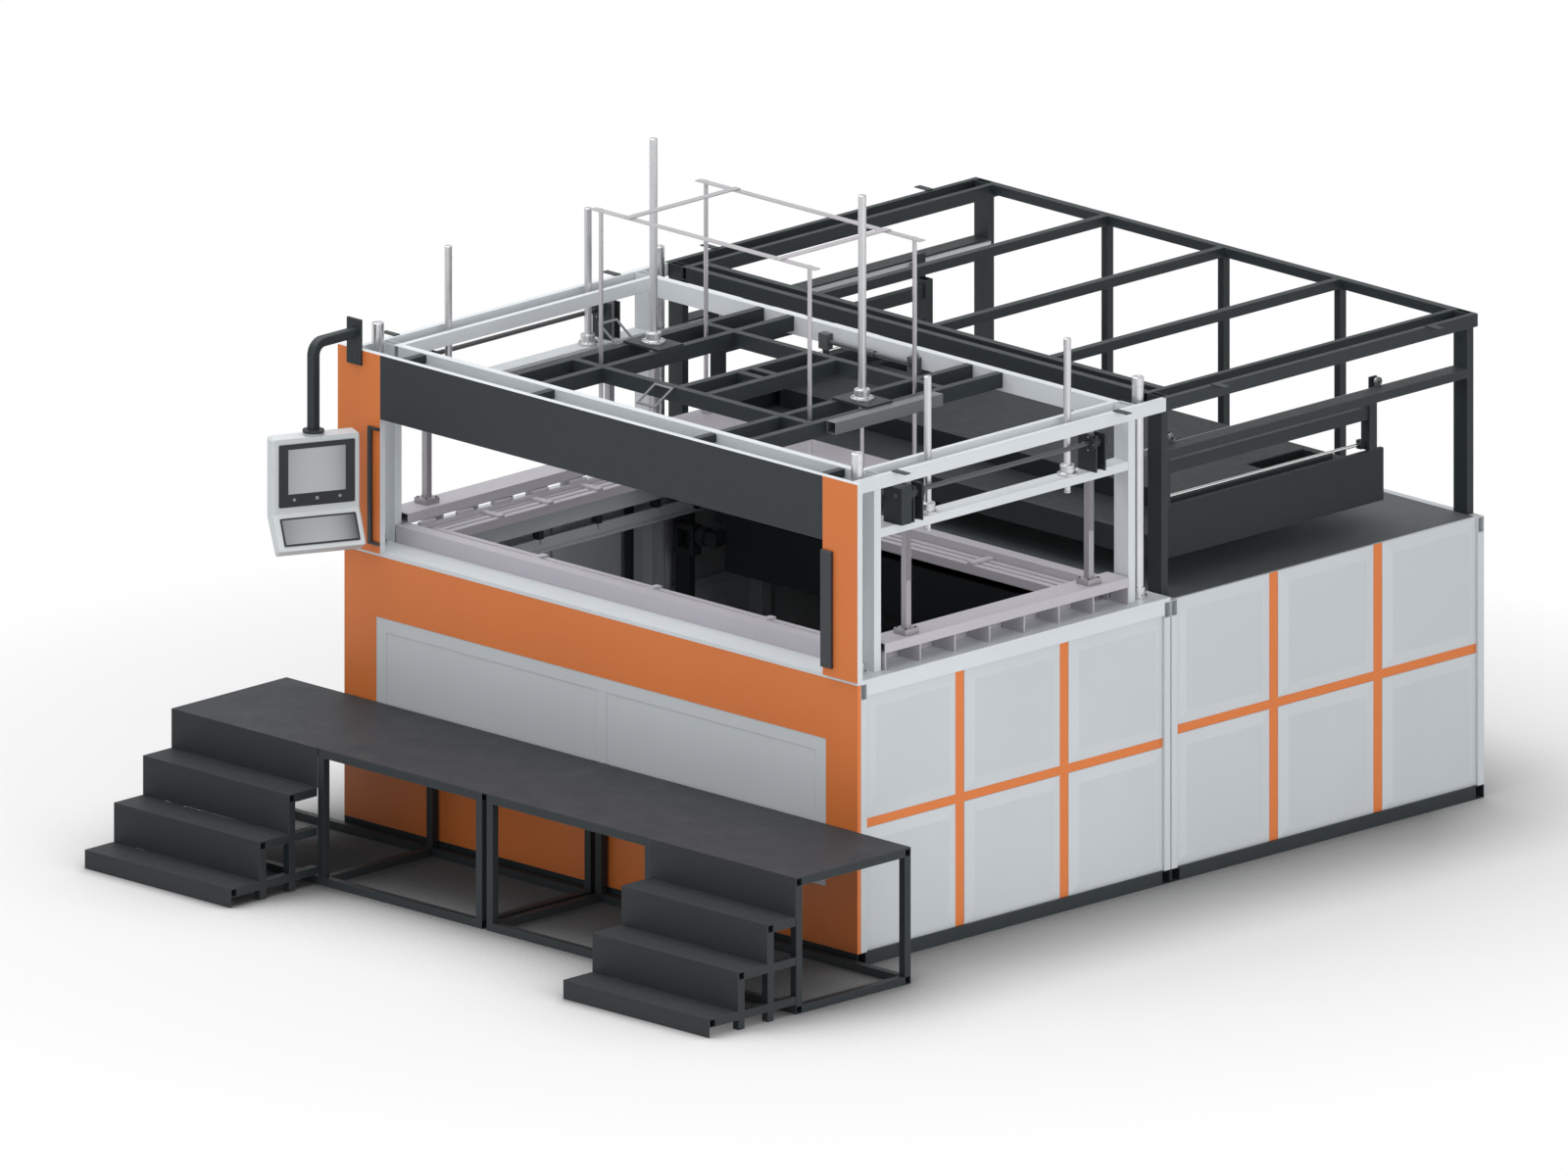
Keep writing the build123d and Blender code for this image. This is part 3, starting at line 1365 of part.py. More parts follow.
stair_lines = [platform_y0 - stair_going * (stair_count - step) for step in range(stair_count)]
stair_tops = [platform_top - stair_rise * (stair_count - step) for step in range(stair_count)]
with BuildPart() as stair_steps:
    for side in SIDES:
        x0 = side * stair_inner
        x1 = side * stair_outer
        lower = 0
        for y, top in zip(stair_lines, stair_tops):
            block(min(x0, x1), max(x0, x1), y, y + stair_going - weld, top - stair_plate, top)
            block(min(x0, x1), max(x0, x1), y, y + stair_plate, lower + seat, top - stair_plate)
            lower = top
        block(min(x0, x1), max(x0, x1), platform_y0 - stair_plate - weld, platform_y0 - weld,
              lower + seat, platform_top)
finish(stair_steps, "stair_steps")

with BuildPart() as stair_frames:
    for side in SIDES:
        for y, top in zip(stair_lines, stair_tops):
            level = top - stair_plate - seat - tube / 2
            front = y + stair_plate + seat + tube / 2
            x0 = side * stair_inner
            x1 = side * stair_outer
            tube_x(min(x0, x1), max(x0, x1), front, level, tube, tube, wall)
            for x in stair_edge:
                back = platform_y0 - stair_plate - 2 * weld
                tube_y(side * x, front + tube / 2 + weld, back, level, tube, tube, wall)
                if level > 2 * tube:
                    tube_z(side * x, front, 0, level - tube / 2 - weld, tube, tube, wall)
finish(stair_frames, "stair_frames")

# ------------------------------------------------------------------ operator panel
flange_top = housing_top + 2 * flange_height
arm_front_y = portal_y0 - seat - mount_thickness
with BuildPart() as panel_arm:
    block(panel_axis_x - mount_width / 2, panel_axis_x + mount_width / 2, arm_front_y,
          portal_y0 - seat, mount_bottom, mount_bottom + mount_height)
    with BuildLine() as route:
        FilletPolyline(at(panel_axis_x, arm_front_y + 1, arm_z),
                       at(panel_axis_x, panel_axis_y, arm_z),
                       at(panel_axis_x, panel_axis_y, flange_top - 1), radius=arm_bend)
    with BuildSketch(Plane(origin=at(panel_axis_x, arm_front_y + 1, arm_z), x_dir=(1, 0, 0),
                           z_dir=(0, -1, 0))) as section:
        RectangleRounded(arm_size, arm_size, arm_round)
        RectangleRounded(arm_size - 2 * arm_wall, arm_size - 2 * arm_wall, arm_round - arm_wall,
                         mode=Mode.SUBTRACT)
    sweep(section.sketch, path=route.wire())
    round_z(panel_axis_x, panel_axis_y, flange_top - flange_height, flange_top, flange_diameter)
finish(panel_arm, "panel_arm")

# The panel's own axes: across its width, outwards from its face, and up
turn = math.radians(panel_turn)
across = Vector(math.cos(turn), math.sin(turn), 0)
facing = Vector(math.sin(turn), -math.cos(turn), 0)
panel_foot = at(panel_axis_x, panel_axis_y)
face_out = housing_depth / 2


def panel_point(out, up, along=0.0):
    return panel_foot + facing * out + across * along + Vector(0, 0, up)


slope = Vector(console_reach, -console_drop).normalized()
knee = Vector(face_out, housing_top - housing_front_height)
toe = knee + Vector(console_reach, -console_drop)
heel = toe - Vector(-slope.Y, slope.X) * console_depth
outline = [(-face_out, housing_top), (face_out, housing_top), (knee.X, knee.Y),
           (toe.X, toe.Y), (heel.X, heel.Y), (-face_out, housing_top - housing_back_height)]
profile_plane = Plane(origin=panel_foot - across * (housing_width / 2), x_dir=facing,
                      z_dir=facing.cross(Vector(0, 0, 1)))
housing_run = housing_width if profile_plane.z_dir.dot(across) > 0 else -housing_width
with BuildPart() as panel_housing:
    with BuildSketch(profile_plane) as profile:
        with BuildLine():
            Polyline(*outline, close=True)
        make_face()
    extrude(profile.sketch, amount=housing_run)
    end_edges = [edge for face in panel_housing.faces()
                 if abs(face.normal_at().dot(across)) > 0.99 for edge in face.edges()]
    chamfer(end_edges, housing_bevel)
    with BuildSketch(profile_plane.offset(math.copysign(housing_bevel, housing_run))) as core:
        with BuildLine():
            Polyline(*outline, close=True)
        make_face()
        offset(amount=-housing_sheet, kind=Kind.INTERSECTION, mode=Mode.REPLACE)
    extrude(core.sketch, amount=housing_run - math.copysign(2 * housing_bevel, housing_run),
            mode=Mode.SUBTRACT)
    round_z(panel_axis_x, panel_axis_y, housing_top, flange_top - flange_height - seat,
            flange_diameter - flange_step)
finish(panel_housing, "panel_housing")

# Bezel with a screen window and three key holes, on the upper face
bezel_middle = housing_top - bezel_top_margin - bezel_height / 2
screen_middle = housing_top - bezel_top_margin - screen_margin - screen_height / 2
key_z = housing_top - bezel_top_margin - bezel_height + key_from_bottom


def face_plane(out, up, along=0.0):
    """Plane parallel to the panel's upper face, facing the operator."""
    return Plane(origin=panel_point(out, up, along), x_dir=across, z_dir=facing)


with BuildPart() as panel_bezel:
    with BuildSketch(face_plane(face_out + seat, bezel_middle)) as frame:
        RectangleRounded(bezel_width, bezel_height, plate_round)
        with Locations((0, screen_middle - bezel_middle)):
            Rectangle(screen_width, screen_height, mode=Mode.SUBTRACT)
        with Locations((-key_pitch, key_z - bezel_middle), (key_pitch, key_z - bezel_middle)):
            Circle(key_diameter / 2 + key_clearance, mode=Mode.SUBTRACT)
        with Locations((0, key_z - bezel_middle)):
            Rectangle(key_diameter + 2 * key_clearance, key_diameter + 2 * key_clearance,
                      mode=Mode.SUBTRACT)
    extrude(frame.sketch, amount=bezel_thickness)
finish(panel_bezel, "panel_bezel")

with BuildPart() as panel_screen:
    with BuildSketch(face_plane(face_out + seat, screen_middle)) as glass:
        Rectangle(screen_width - 2 * seat, screen_height - 2 * seat)
    extrude(glass.sketch, amount=bezel_thickness - 1)
finish(panel_screen, "panel_screen")

key_back = face_out + seat + key_travel + 0.2
key_front = face_out + seat + bezel_thickness + key_height
for place, name in zip((-1, 0, 1), ("left", "middle", "right")):
    with BuildPart() as key:
        with BuildSketch(face_plane(key_back, key_z, place * key_pitch)) as cap:
            if place:
                Circle(key_diameter / 2)
            else:
                Rectangle(key_diameter, key_diameter)
        extrude(cap.sketch, amount=key_front - key_back)
    finish(key, f"panel_key_{name}")

slope_axis = facing * slope.X + Vector(0, 0, slope.Y)
console_normal = across.cross(-slope_axis)
console_middle = panel_point((knee.X + toe.X) / 2, (knee.Y + toe.Y) / 2) + console_normal * seat
with BuildPart() as console_panel:
    with BuildSketch(Plane(origin=console_middle, x_dir=across, z_dir=console_normal)) as sheet_face:
        RectangleRounded(bezel_width, console_panel_height, plate_round)
    extrude(sheet_face.sketch, amount=bezel_thickness - 1)
finish(console_panel, "console_panel")
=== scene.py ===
import json
import math

import bmesh
import bpy
from mathutils import Matrix, Vector

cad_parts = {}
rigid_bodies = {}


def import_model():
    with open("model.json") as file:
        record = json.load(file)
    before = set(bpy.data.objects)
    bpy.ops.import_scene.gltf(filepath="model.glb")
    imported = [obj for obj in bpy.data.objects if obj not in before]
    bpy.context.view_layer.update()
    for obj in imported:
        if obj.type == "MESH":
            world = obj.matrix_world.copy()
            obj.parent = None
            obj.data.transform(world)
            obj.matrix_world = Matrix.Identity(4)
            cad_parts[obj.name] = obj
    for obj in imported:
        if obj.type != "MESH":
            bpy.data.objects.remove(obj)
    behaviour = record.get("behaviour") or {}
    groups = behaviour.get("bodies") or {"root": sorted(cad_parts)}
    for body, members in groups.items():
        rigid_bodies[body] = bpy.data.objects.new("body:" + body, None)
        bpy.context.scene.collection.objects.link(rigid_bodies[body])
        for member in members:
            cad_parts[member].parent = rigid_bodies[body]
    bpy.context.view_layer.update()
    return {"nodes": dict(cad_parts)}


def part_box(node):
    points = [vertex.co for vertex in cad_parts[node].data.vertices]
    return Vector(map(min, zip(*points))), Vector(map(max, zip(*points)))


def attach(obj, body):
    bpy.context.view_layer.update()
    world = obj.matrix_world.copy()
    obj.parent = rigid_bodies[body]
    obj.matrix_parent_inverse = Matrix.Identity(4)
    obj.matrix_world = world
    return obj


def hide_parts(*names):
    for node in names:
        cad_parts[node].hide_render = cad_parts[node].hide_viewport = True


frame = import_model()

# ---------------------------------------------------------------- the view
# The machine is looked at from its front right corner, a little from above, in a
# parallel projection.  Places below are in millimetres from the machine's centre line,
# the cabinet's front face and the floor.
nodes = frame["nodes"]
front_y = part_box("front_fascia")[0].y


def at(x, y, z):
    return Vector((x / 1000, front_y + y / 1000, z / 1000))


view_width = 7.619
view_azimuth = math.radians(45)
view_height = math.radians(15.787)
view_distance = 25
away = Vector((math.sin(view_azimuth) * math.cos(view_height),
               -math.cos(view_azimuth) * math.cos(view_height), math.sin(view_height)))
lens = bpy.data.cameras.new("view")
lens.type = "ORTHO"
lens.ortho_scale = view_width
lens.clip_end = 200
camera = bpy.data.objects.new("view", lens)
camera.location = at(1257.9, 0, 1816.1) + away * view_distance
camera.rotation_euler = away.to_track_quat("Z", "Y").to_euler()
bpy.context.scene.collection.objects.link(camera)
bpy.context.scene.camera = camera
bpy.context.scene.view_settings.view_transform = "Standard"


# ---------------------------------------------------------------- floor and studio light
# A pale seamless floor under soft, even light, so that paint tones stay as they are
# mixed and the machine keeps a soft shadow round its feet; where the camera sees the
# floor, a painted shadow, darkened by ambient occlusion, is laid into its colour round
# and under the machine.
class Wire:
    """One socket of a node tree, which can be added, multiplied and compared."""

    def __init__(self, net, socket):
        self.net = net
        self.socket = socket

    def math(self, operation, *values):
        return self.net.node("ShaderNodeMath", {"operation": operation},
                             dict(enumerate(values)))

    def __add__(self, other):
        return self.math("ADD", self, other)

    def __sub__(self, other):
        return self.math("SUBTRACT", self, other)

    def __rsub__(self, other):
        return self.math("SUBTRACT", other, self)

    def __mul__(self, other):
        return self.math("MULTIPLY", self, other)

    def __pow__(self, other):
        return self.math("POWER", self, other)

    def __gt__(self, edge):
        return self.math("GREATER_THAN", self, edge)

    def __abs__(self):
        return self.math("ABSOLUTE", self)

    def held(self):
        return self.math("MINIMUM", self.math("MAXIMUM", self, 0.0), 1.0)

    __radd__ = __add__
    __rmul__ = __mul__


class Net:
    """A node tree, and the one way in which a node is added to it."""

    def __init__(self, tree):
        self.tree = tree

    def plug(self, socket, value):
        if isinstance(value, Wire):
            self.tree.links.new(value.socket, socket)
        else:
            socket.default_value = value

    def node(self, kind, settings=None, inputs=None, output=0):
        made = self.tree.nodes.new(kind)
        for name, value in (settings or {}).items():
            setattr(made, name, value)
        for name, value in (inputs or {}).items():
            self.plug(made.inputs[name], value)
        return Wire(self, made.outputs[output])


class Finish(Net):
    """One material, worked out by nodes from the place on the piece."""

    def __init__(self, name):
        self.material = bpy.data.materials.new(name)
        self.material.use_nodes = True
        super().__init__(self.material.node_tree)
        self.shader = self.tree.nodes["Principled BSDF"]

    def spot(self, scale=(1, 1, 1)):
        here = self.node("ShaderNodeTexCoord", output="Object")
        return self.node("ShaderNodeMapping", {}, {"Vector": here, "Scale": scale})

    def noise(self, scale, detail=2.0, stretch=(1, 1, 1)):
        return self.node("ShaderNodeTexNoise", {}, {"Vector": self.spot(stretch),
                                                    "Scale": scale, "Detail": detail})

    def blend(self, amount, first, second):
        first, second = [value if isinstance(value, Wire) else (*value[:3], 1)
                         for value in (first, second)]
        return self.node("ShaderNodeMix", {"data_type": "RGBA"},
                         {0: amount, 6: first, 7: second}, output=2)

    def facing(self, direction):
        normal = self.node("ShaderNodeNewGeometry", output="True Normal")
        return self.node("ShaderNodeVectorMath", {"operation": "DOT_PRODUCT"},
                         {0: normal, 1: direction}, output="Value")

    def along(self, axis):
        return self.node("ShaderNodeSeparateXYZ", {}, {
            0: self.node("ShaderNodeTexCoord", output="Object")}, output=axis)

    def set(self, **inputs):
        for name, value in inputs.items():
            socket = self.shader.inputs[name.replace("_", " ")]
            self.plug(socket, (*value, 1) if isinstance(value, tuple) else value)
        return self.material


floor_size = 90
floor_level = -0.0005
floor_mesh = bpy.data.meshes.new("floor")
floor_mesh.from_pydata([(x * floor_size, y * floor_size, floor_level)
                        for x, y in ((-1, -1), (1, -1), (1, 1), (-1, 1))],
                       [], [(0, 1, 2, 3)])
floor = bpy.data.objects.new("floor", floor_mesh)
bpy.context.scene.collection.objects.link(floor)
painted_shadow_distance = 1.0
painted_shadow_power = 1.6
painted_shadow_tone = (0.01, 0.01, 0.01)
open_tone = (0.82, 0.82, 0.82)
bounce_tone = (0.93, 0.93, 0.93)
pale = Finish("floor_pale")
glow = pale.node("ShaderNodeEmission", {}, {"Color": (1, 1, 1, 1), "Strength": 1.0})
seen = pale.node("ShaderNodeLightPath", output="Is Camera Ray")
mirrored = pale.node("ShaderNodeLightPath", output="Is Glossy Ray")
# Painted shadow: the floor's colour seen by the camera darkens with ambient occlusion round
# and under the machine.
painted_shadow_ao = pale.node("ShaderNodeAmbientOcclusion", {"samples": 8},
                      {"Distance": painted_shadow_distance}, output="AO")
painted_shadow_floor = pale.blend(painted_shadow_ao ** painted_shadow_power, painted_shadow_tone, open_tone)
pale.set(Base_Color=pale.blend(seen, bounce_tone, painted_shadow_floor), Roughness=0.9,
         Specular_IOR_Level=0.0)
white_share = 0.01
shadow_reach = 3.0
fade_width = 2.6
from_middle = pale.node("ShaderNodeVectorMath", {"operation": "LENGTH"}, {0: pale.spot()},
                        output="Value")
open_floor = ((from_middle - shadow_reach) * (1 / fade_width)).held()
lit = pale.node("ShaderNodeMixShader", {}, {
    0: ((seen + mirrored) * (open_floor * (1 - white_share) + white_share)).held(),
    1: Wire(pale, pale.shader.outputs[0]), 2: glow})
pale.plug(pale.tree.nodes["Material Output"].inputs["Surface"], lit)
floor_mesh.materials.append(pale.material)

world = bpy.data.worlds.new("studio")
world.use_nodes = True
bpy.context.scene.world = world
studio = Net(world.node_tree)
paths = [studio.node("ShaderNodeLightPath", output=f"Is {kind} Ray")
         for kind in ("Camera", "Transmission", "Glossy")]
sky_strength = 0.5
soft_sky = studio.node("ShaderNodeBackground", {}, {"Color": (1, 1, 1, 1),
                                                    "Strength": sky_strength})
white = studio.node("ShaderNodeBackground", {}, {"Color": (1, 1, 1, 1), "Strength": 1.0})
plain = (paths[0] + paths[1] + paths[2] * 0.5).held()
backdrop = studio.node("ShaderNodeMixShader", {}, {0: plain, 1: soft_sky, 2: white})
studio.plug(world.node_tree.nodes["World Output"].inputs["Surface"], backdrop)


light_target = Vector((0, 0, 1.2))


def softbox(name, place, size, power):
    lamp = bpy.data.lights.new(name, "AREA")
    lamp.shape = "RECTANGLE"
    lamp.size, lamp.size_y = size
    lamp.energy = power
    holder = bpy.data.objects.new(name, lamp)
    holder.location = place
    aim = Vector(place) - light_target
    holder.rotation_euler = aim.to_track_quat("Z", "Y").to_euler()
    bpy.context.scene.collection.objects.link(holder)


softbox("overhead", (-2.0, -1.5, 9.0), (9, 9), 600)
softbox("front_fill", (1.5, -11.0, 5.0), (8, 5), 150)
softbox("right_fill", (12.0, -1.0, 4.5), (8, 4), 445)


# ---------------------------------------------------------------- base and cabinet frame
# Welded mild steel tube under a baked powder coat: fine orange peel, slow drifts of tone,
# a little dust on what faces up, and paint polished thin along the edges, where the
# lighter colour is partly wear and partly a painted highlight.
def tone(red, green, blue):
    return tuple((channel / 255) ** 2.2 for channel in (red, green, blue))


def powder_coat(name, colour, rough=0.5, wear_and_highlight_amount=0.3, dust=0.25, peel=0.12, shine=0.45,
                second=None, where=None):
    coat = Finish(name)
    rounded = coat.node("ShaderNodeBevel", {"samples": 4}, {"Radius": 0.0025})
    flat = coat.node("ShaderNodeNewGeometry", output="Normal")
    match = coat.node("ShaderNodeVectorMath", {"operation": "DOT_PRODUCT"},
                      {0: rounded, 1: flat}, output="Value")
    # Edges are lightened in the colour: partly paint worn thin, partly a painted highlight.
    wear_and_highlight_mask = ((1.0 - match) * 6.0).held() * wear_and_highlight_amount
    colour_now = coat.blend(where(coat), colour, second) if where else colour
    drift = coat.noise(0.9, 4.0)
    shaded = coat.node("ShaderNodeHueSaturation", {}, {
        "Value": drift * 0.16 + 0.92,
        "Color": colour_now if isinstance(colour_now, Wire) else (*colour_now, 1)})
    dusty = coat.blend((coat.facing((0, 0, 1)) > 0.7) * coat.noise(7.0, 6.0) ** 2.0 * dust,
                       shaded, (0.40, 0.405, 0.41))
    wear_and_highlight_colour = coat.blend(wear_and_highlight_mask, dusty, tuple(0.65 * channel + 0.25 for channel in colour))
    grain = coat.node("ShaderNodeBump", {}, {
        "Strength": peel, "Distance": 0.0006, "Height": coat.noise(420.0, 1.0),
        "Normal": rounded})
    return coat.set(Base_Color=wear_and_highlight_colour, Normal=grain, Specular_IOR_Level=shine,
                    Roughness=coat.noise(23.0, 5.0) * 0.18 + (rough - 0.09))


def dress(material, *names):
    for name in names:
        nodes[name].data.materials.clear()
        nodes[name].data.materials.append(material)


anthracite = tone(43, 49, 52)
dark_coat = powder_coat("anthracite_powder_coat", anthracite, rough=0.5, dust=0.08, shine=0.3)
dress(dark_coat, "base_frame")

# ---------------------------------------------------------------- cladding
# Pressed 2 mm sheet panels with a raised field, clipped between extruded strips that are
# painted orange; the same panels close both sides and the back.
def field_painted_shade(coat):
    """1 on the flat faces that look straight out at a side or an end, which get a painted
    shade.
    """
    sideways = coat.facing((1, 0, 0)) ** 2.0 > 0.999
    return (sideways + (coat.facing((0, 1, 0)) ** 2.0 > 0.999)).held()


def outward(coat):
    """1 on the faces that look away from the middle of the machine."""
    across = coat.facing((1, 0, 0)) * coat.along("X") > 0.9
    return (across + (coat.facing((0, 1, 0)) * coat.along("Y") > 0.9)).held()


panel_grey = tone(196, 201, 205)
panel_coat = powder_coat("panel_grey_powder_coat", panel_grey, rough=0.45, wear_and_highlight_amount=0.2)
# The raised fields' flat faces take a darker grey than the bevels round them: painted shade.
painted_shade_field_coat = powder_coat("pressed_panel_coat", panel_grey, rough=0.45, wear_and_highlight_amount=0.2,
                         second=tone(190, 195, 199), where=field_painted_shade)
signal_orange = tone(213, 117, 56)
orange_coat = powder_coat("orange_powder_coat", signal_orange, rough=0.45, wear_and_highlight_amount=0.2)
dress(painted_shade_field_coat, "cladding_panels")
dress(panel_coat, "cabinet_frame")
dress(powder_coat("strip_coat", panel_grey, rough=0.45, wear_and_highlight_amount=0.1, second=signal_orange,
                  where=outward), "cladding_strips")

# ---------------------------------------------------------------- front board
# A folded orange board screwed to the front of the frame, with a framed pair of access
# leaves let into its window.
dress(orange_coat, "front_fascia")
dress(panel_coat, "front_inset")

# ---------------------------------------------------------------- decks
# 20 mm plates over the front section, painted light grey; dark sheet with a sanded
# texture over the rear section, where people step when the ovens are serviced.
light_grey = tone(206, 211, 215)
white_coat = powder_coat("light_grey_powder_coat", light_grey, rough=0.42, wear_and_highlight_amount=0.15)
dress(white_coat, "front_deck")
dress(powder_coat("rear_deck_paint", tone(84, 89, 92), rough=0.6, peel=0.45, dust=0.05,
                  shine=0.3), "rear_deck")

# ---------------------------------------------------------------- front portal
# Boards cut from coated panel: coloured on the face towards the operator, light grey on
# the edges and behind.
def operator_face(coat):
    return coat.facing((0, -1, 0)) > 0.5


dress(powder_coat("portal_orange", light_grey, wear_and_highlight_amount=0.1, second=signal_orange,
                  where=operator_face), "portal_posts")
dress(powder_coat("portal_slate", light_grey, wear_and_highlight_amount=0.1, shine=0.3, second=tone(49, 53, 56),
                  where=operator_face), "header_board")

# ---------------------------------------------------------------- light bars
# Safety light bars in dark anodised channel; the right one shows its rounded back, the
# left one its open side.
bar_coat = powder_coat("dark_anodised_channel", tone(50, 53, 57), rough=0.4, peel=0.03,
                       wear_and_highlight_amount=0.1, dust=0.1)
dress(bar_coat, "light_bars")

# ---------------------------------------------------------------- forming station frame
# Rectangular tube posts and rails, powder-coated light grey, with dark guard hooks lying
# on the outer rails and dark tube spacers behind the header.
dress(white_coat, "station_side_frames", "station_top_frame")
dress(dark_coat, "spacers_and_hooks")

# ---------------------------------------------------------------- guide columns
# Ground and hardened steel shafts, 60 mm, with a turned cap groove, standing in flanged
# collars that are screwed to the deck.
def turned(mesh, foot, axis, outline, steps=48):
    """A lathe form: outline gives radius and height in mm, closed from end to start."""
    axis = Vector(axis)
    side = axis.orthogonal().normalized()
    other = axis.cross(side)
    rings = []
    for radius, height in outline:
        middle = foot + axis * (height / 1000)
        if radius == 0:
            rings.append([mesh.verts.new(middle)])
            continue
        rings.append([mesh.verts.new(
            middle + (side * math.cos(turn) + other * math.sin(turn)) * (radius / 1000))
            for turn in (2 * math.pi * step / steps for step in range(steps))])
    made = []
    for lower, upper in zip(rings, rings[1:] + rings[:1]):
        if len(lower) == 1 and len(upper) == 1:
            continue
        for step in range(steps):
            after = (step + 1) % steps
            if len(lower) == 1:
                corners = (lower[0], upper[after], upper[step])
            elif len(upper) == 1:
                corners = (lower[step], lower[after], upper[0])
            else:
                corners = (lower[step], lower[after], upper[after], upper[step])
            made.append(mesh.faces.new(corners))
    bmesh.ops.recalc_face_normals(mesh, faces=made)


def settle(name, mesh, body, slot, material, *replaced):
    """Turn finished mesh work into a piece that rides on a body and stands for nodes."""
    if isinstance(mesh, bmesh.types.BMesh):
        data = bpy.data.meshes.new(name)
        mesh.to_mesh(data)
        mesh.free()
    else:
        data = mesh
        data.name = name
    data.shade_smooth()
    data.set_sharp_from_angle(angle=math.radians(32))
    if material not in list(data.materials):
        data.materials.clear()
        data.materials.append(material)
    made = bpy.data.objects.new(name, data)
    bpy.context.scene.collection.objects.link(made)
    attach(made, body)
    if replaced:
        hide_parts(*replaced)
    return made


def machined(name, colour, rough=0.3, metal=1.0, along=(900, 900, 12), marks=0.25):
    """Bright metal: fine tool marks drawn along one direction, and slow clouds of polish."""
    metal_finish = Finish(name)
    lines = metal_finish.noise(1.0, 3.0, along)
    cloud = metal_finish.noise(5.0, 3.0)
    bright = metal_finish.blend(cloud * 0.6 + lines * 0.4,
                                tuple(channel * 0.86 for channel in colour),
                                tuple(min(1, channel * 1.1) for channel in colour))
    bump = metal_finish.node("ShaderNodeBump", {}, {"Strength": marks, "Distance": 0.0002,
                                                    "Height": lines})
    return metal_finish.set(Base_Color=bright, Metallic=metal, Normal=bump,
                            Roughness=(cloud - 0.5) * 0.2 + rough)


column_x = 1647
column_ys = (114, 2042)
column_radius = 30
column_foot = 1441.3
column_top = 2555
collar_radius = 46
cap_length = 48
steel = machined("ground_shaft_steel", (0.66, 0.665, 0.675), rough=0.3)
mesh = bmesh.new()
for x in (-column_x, column_x):
    for y in column_ys:
        turned(mesh, at(x, y, 0), (0, 0, 1), [
            (0, column_foot), (collar_radius - 1, column_foot),
            (collar_radius, column_foot + 1), (collar_radius, column_foot + 13),
            (collar_radius - 1.5, column_foot + 14), (39.5, column_foot + 14),
            (38.5, column_foot + 15), (38.5, column_foot + 52), (36, column_foot + 55),
            (31.5, column_foot + 55), (30.5, column_foot + 53),
            (column_radius, column_foot + 53),
            (column_radius, column_top - cap_length), (28.5, column_top - cap_length + 1),
            (28.5, column_top - cap_length + 4), (column_radius, column_top - cap_length + 5),
            (column_radius, column_top - 3), (27, column_top), (8, column_top),
            (6, column_top - 2), (6, column_top - 22), (0, column_top - 25)])
settle("guide_columns_turned", mesh, "machine", "steel", steel, "guide_columns")


# The socket screws of the whole machine come from one pattern: a head with a turned-in
# socket, set on each given spot and stood along its own axis.
class Pattern(Net):
    """A geometry tree with named sizes; its result is one plain mesh."""

    def __init__(self, name, **sizes):
        super().__init__(bpy.data.node_groups.new(name, "GeometryNodeTree"))
        socket = self.tree.interface.new_socket
        socket("Geometry", in_out="INPUT", socket_type="NodeSocketGeometry")
        socket("Geometry", in_out="OUTPUT", socket_type="NodeSocketGeometry")
        self.ids = {}
        for size, value in sizes.items():
            kind = {int: "NodeSocketInt", float: "NodeSocketFloat"}.get(
                type(value), "NodeSocketMaterial")
            made = socket(size, in_out="INPUT", socket_type=kind)
            if value is not None:
                made.default_value = value
            self.ids[size] = made.identifier
        self.given = self.tree.nodes.new("NodeGroupInput")
        self.start = Wire(self, self.given.outputs["Geometry"])

    def size(self, name):
        return Wire(self, self.given.outputs[name])

    def vector(self, x=0.0, y=0.0, z=0.0):
        return self.node("ShaderNodeCombineXYZ", {}, {"X": x, "Y": y, "Z": z})

    def close(self, geometry):
        real = self.node("GeometryNodeRealizeInstances", {}, {"Geometry": geometry})
        coated = self.node("GeometryNodeSetMaterial", {}, {"Geometry": real,
                                                           "Material": self.size("Material")})
        end = self.tree.nodes.new("NodeGroupOutput")
        self.plug(end.inputs[0], coated)

    def run(self, mesh, **sizes):
        holder = bpy.data.objects.new("pattern_start", mesh)
        bpy.context.scene.collection.objects.link(holder)
        modifier = holder.modifiers.new("pattern", "NODES")
        modifier.node_group = self.tree
        for size, value in sizes.items():
            modifier[self.ids[size]] = value
        bpy.context.view_layer.update()
        shaped = holder.evaluated_get(bpy.context.evaluated_depsgraph_get())
        result = bpy.data.meshes.new_from_object(shaped)
        holder.modifiers.remove(modifier)
        bpy.data.objects.remove(holder)
        return result


screws = Pattern("socket_screws", Radius=0.005, Height=0.005, Material=None)
head = screws.node("GeometryNodeMeshCylinder", {"fill_type": "NGON"}, {
    "Vertices": 16, "Radius": screws.size("Radius"), "Depth": screws.size("Height")})
upward = screws.node("ShaderNodeSeparateXYZ", {}, {
    0: screws.node("GeometryNodeInputNormal")}, output="Z")
rim = screws.node("GeometryNodeExtrudeMesh", {"mode": "FACES"}, {
    "Mesh": head, "Selection": upward > 0.9, "Offset Scale": 0.0})
rim_top = Wire(screws, rim.socket.node.outputs["Top"])
socket_rim = screws.node("GeometryNodeScaleElements", {}, {
    "Geometry": rim, "Selection": rim_top, "Scale": 0.55})
hollow = screws.node("GeometryNodeExtrudeMesh", {"mode": "FACES"}, {
    "Mesh": socket_rim, "Selection": rim_top,
    "Offset Scale": screws.size("Height") * -0.6})
lifted = screws.node("GeometryNodeTransform", {}, {
    "Geometry": hollow, "Translation": screws.vector(z=screws.size("Height") * 0.5)})
aim = screws.node("GeometryNodeInputNamedAttribute", {"data_type": "FLOAT_VECTOR"},
                  {"Name": "aim"})
stand = screws.node("FunctionNodeAlignRotationToVector", {"axis": "Z"}, {"Vector": aim})
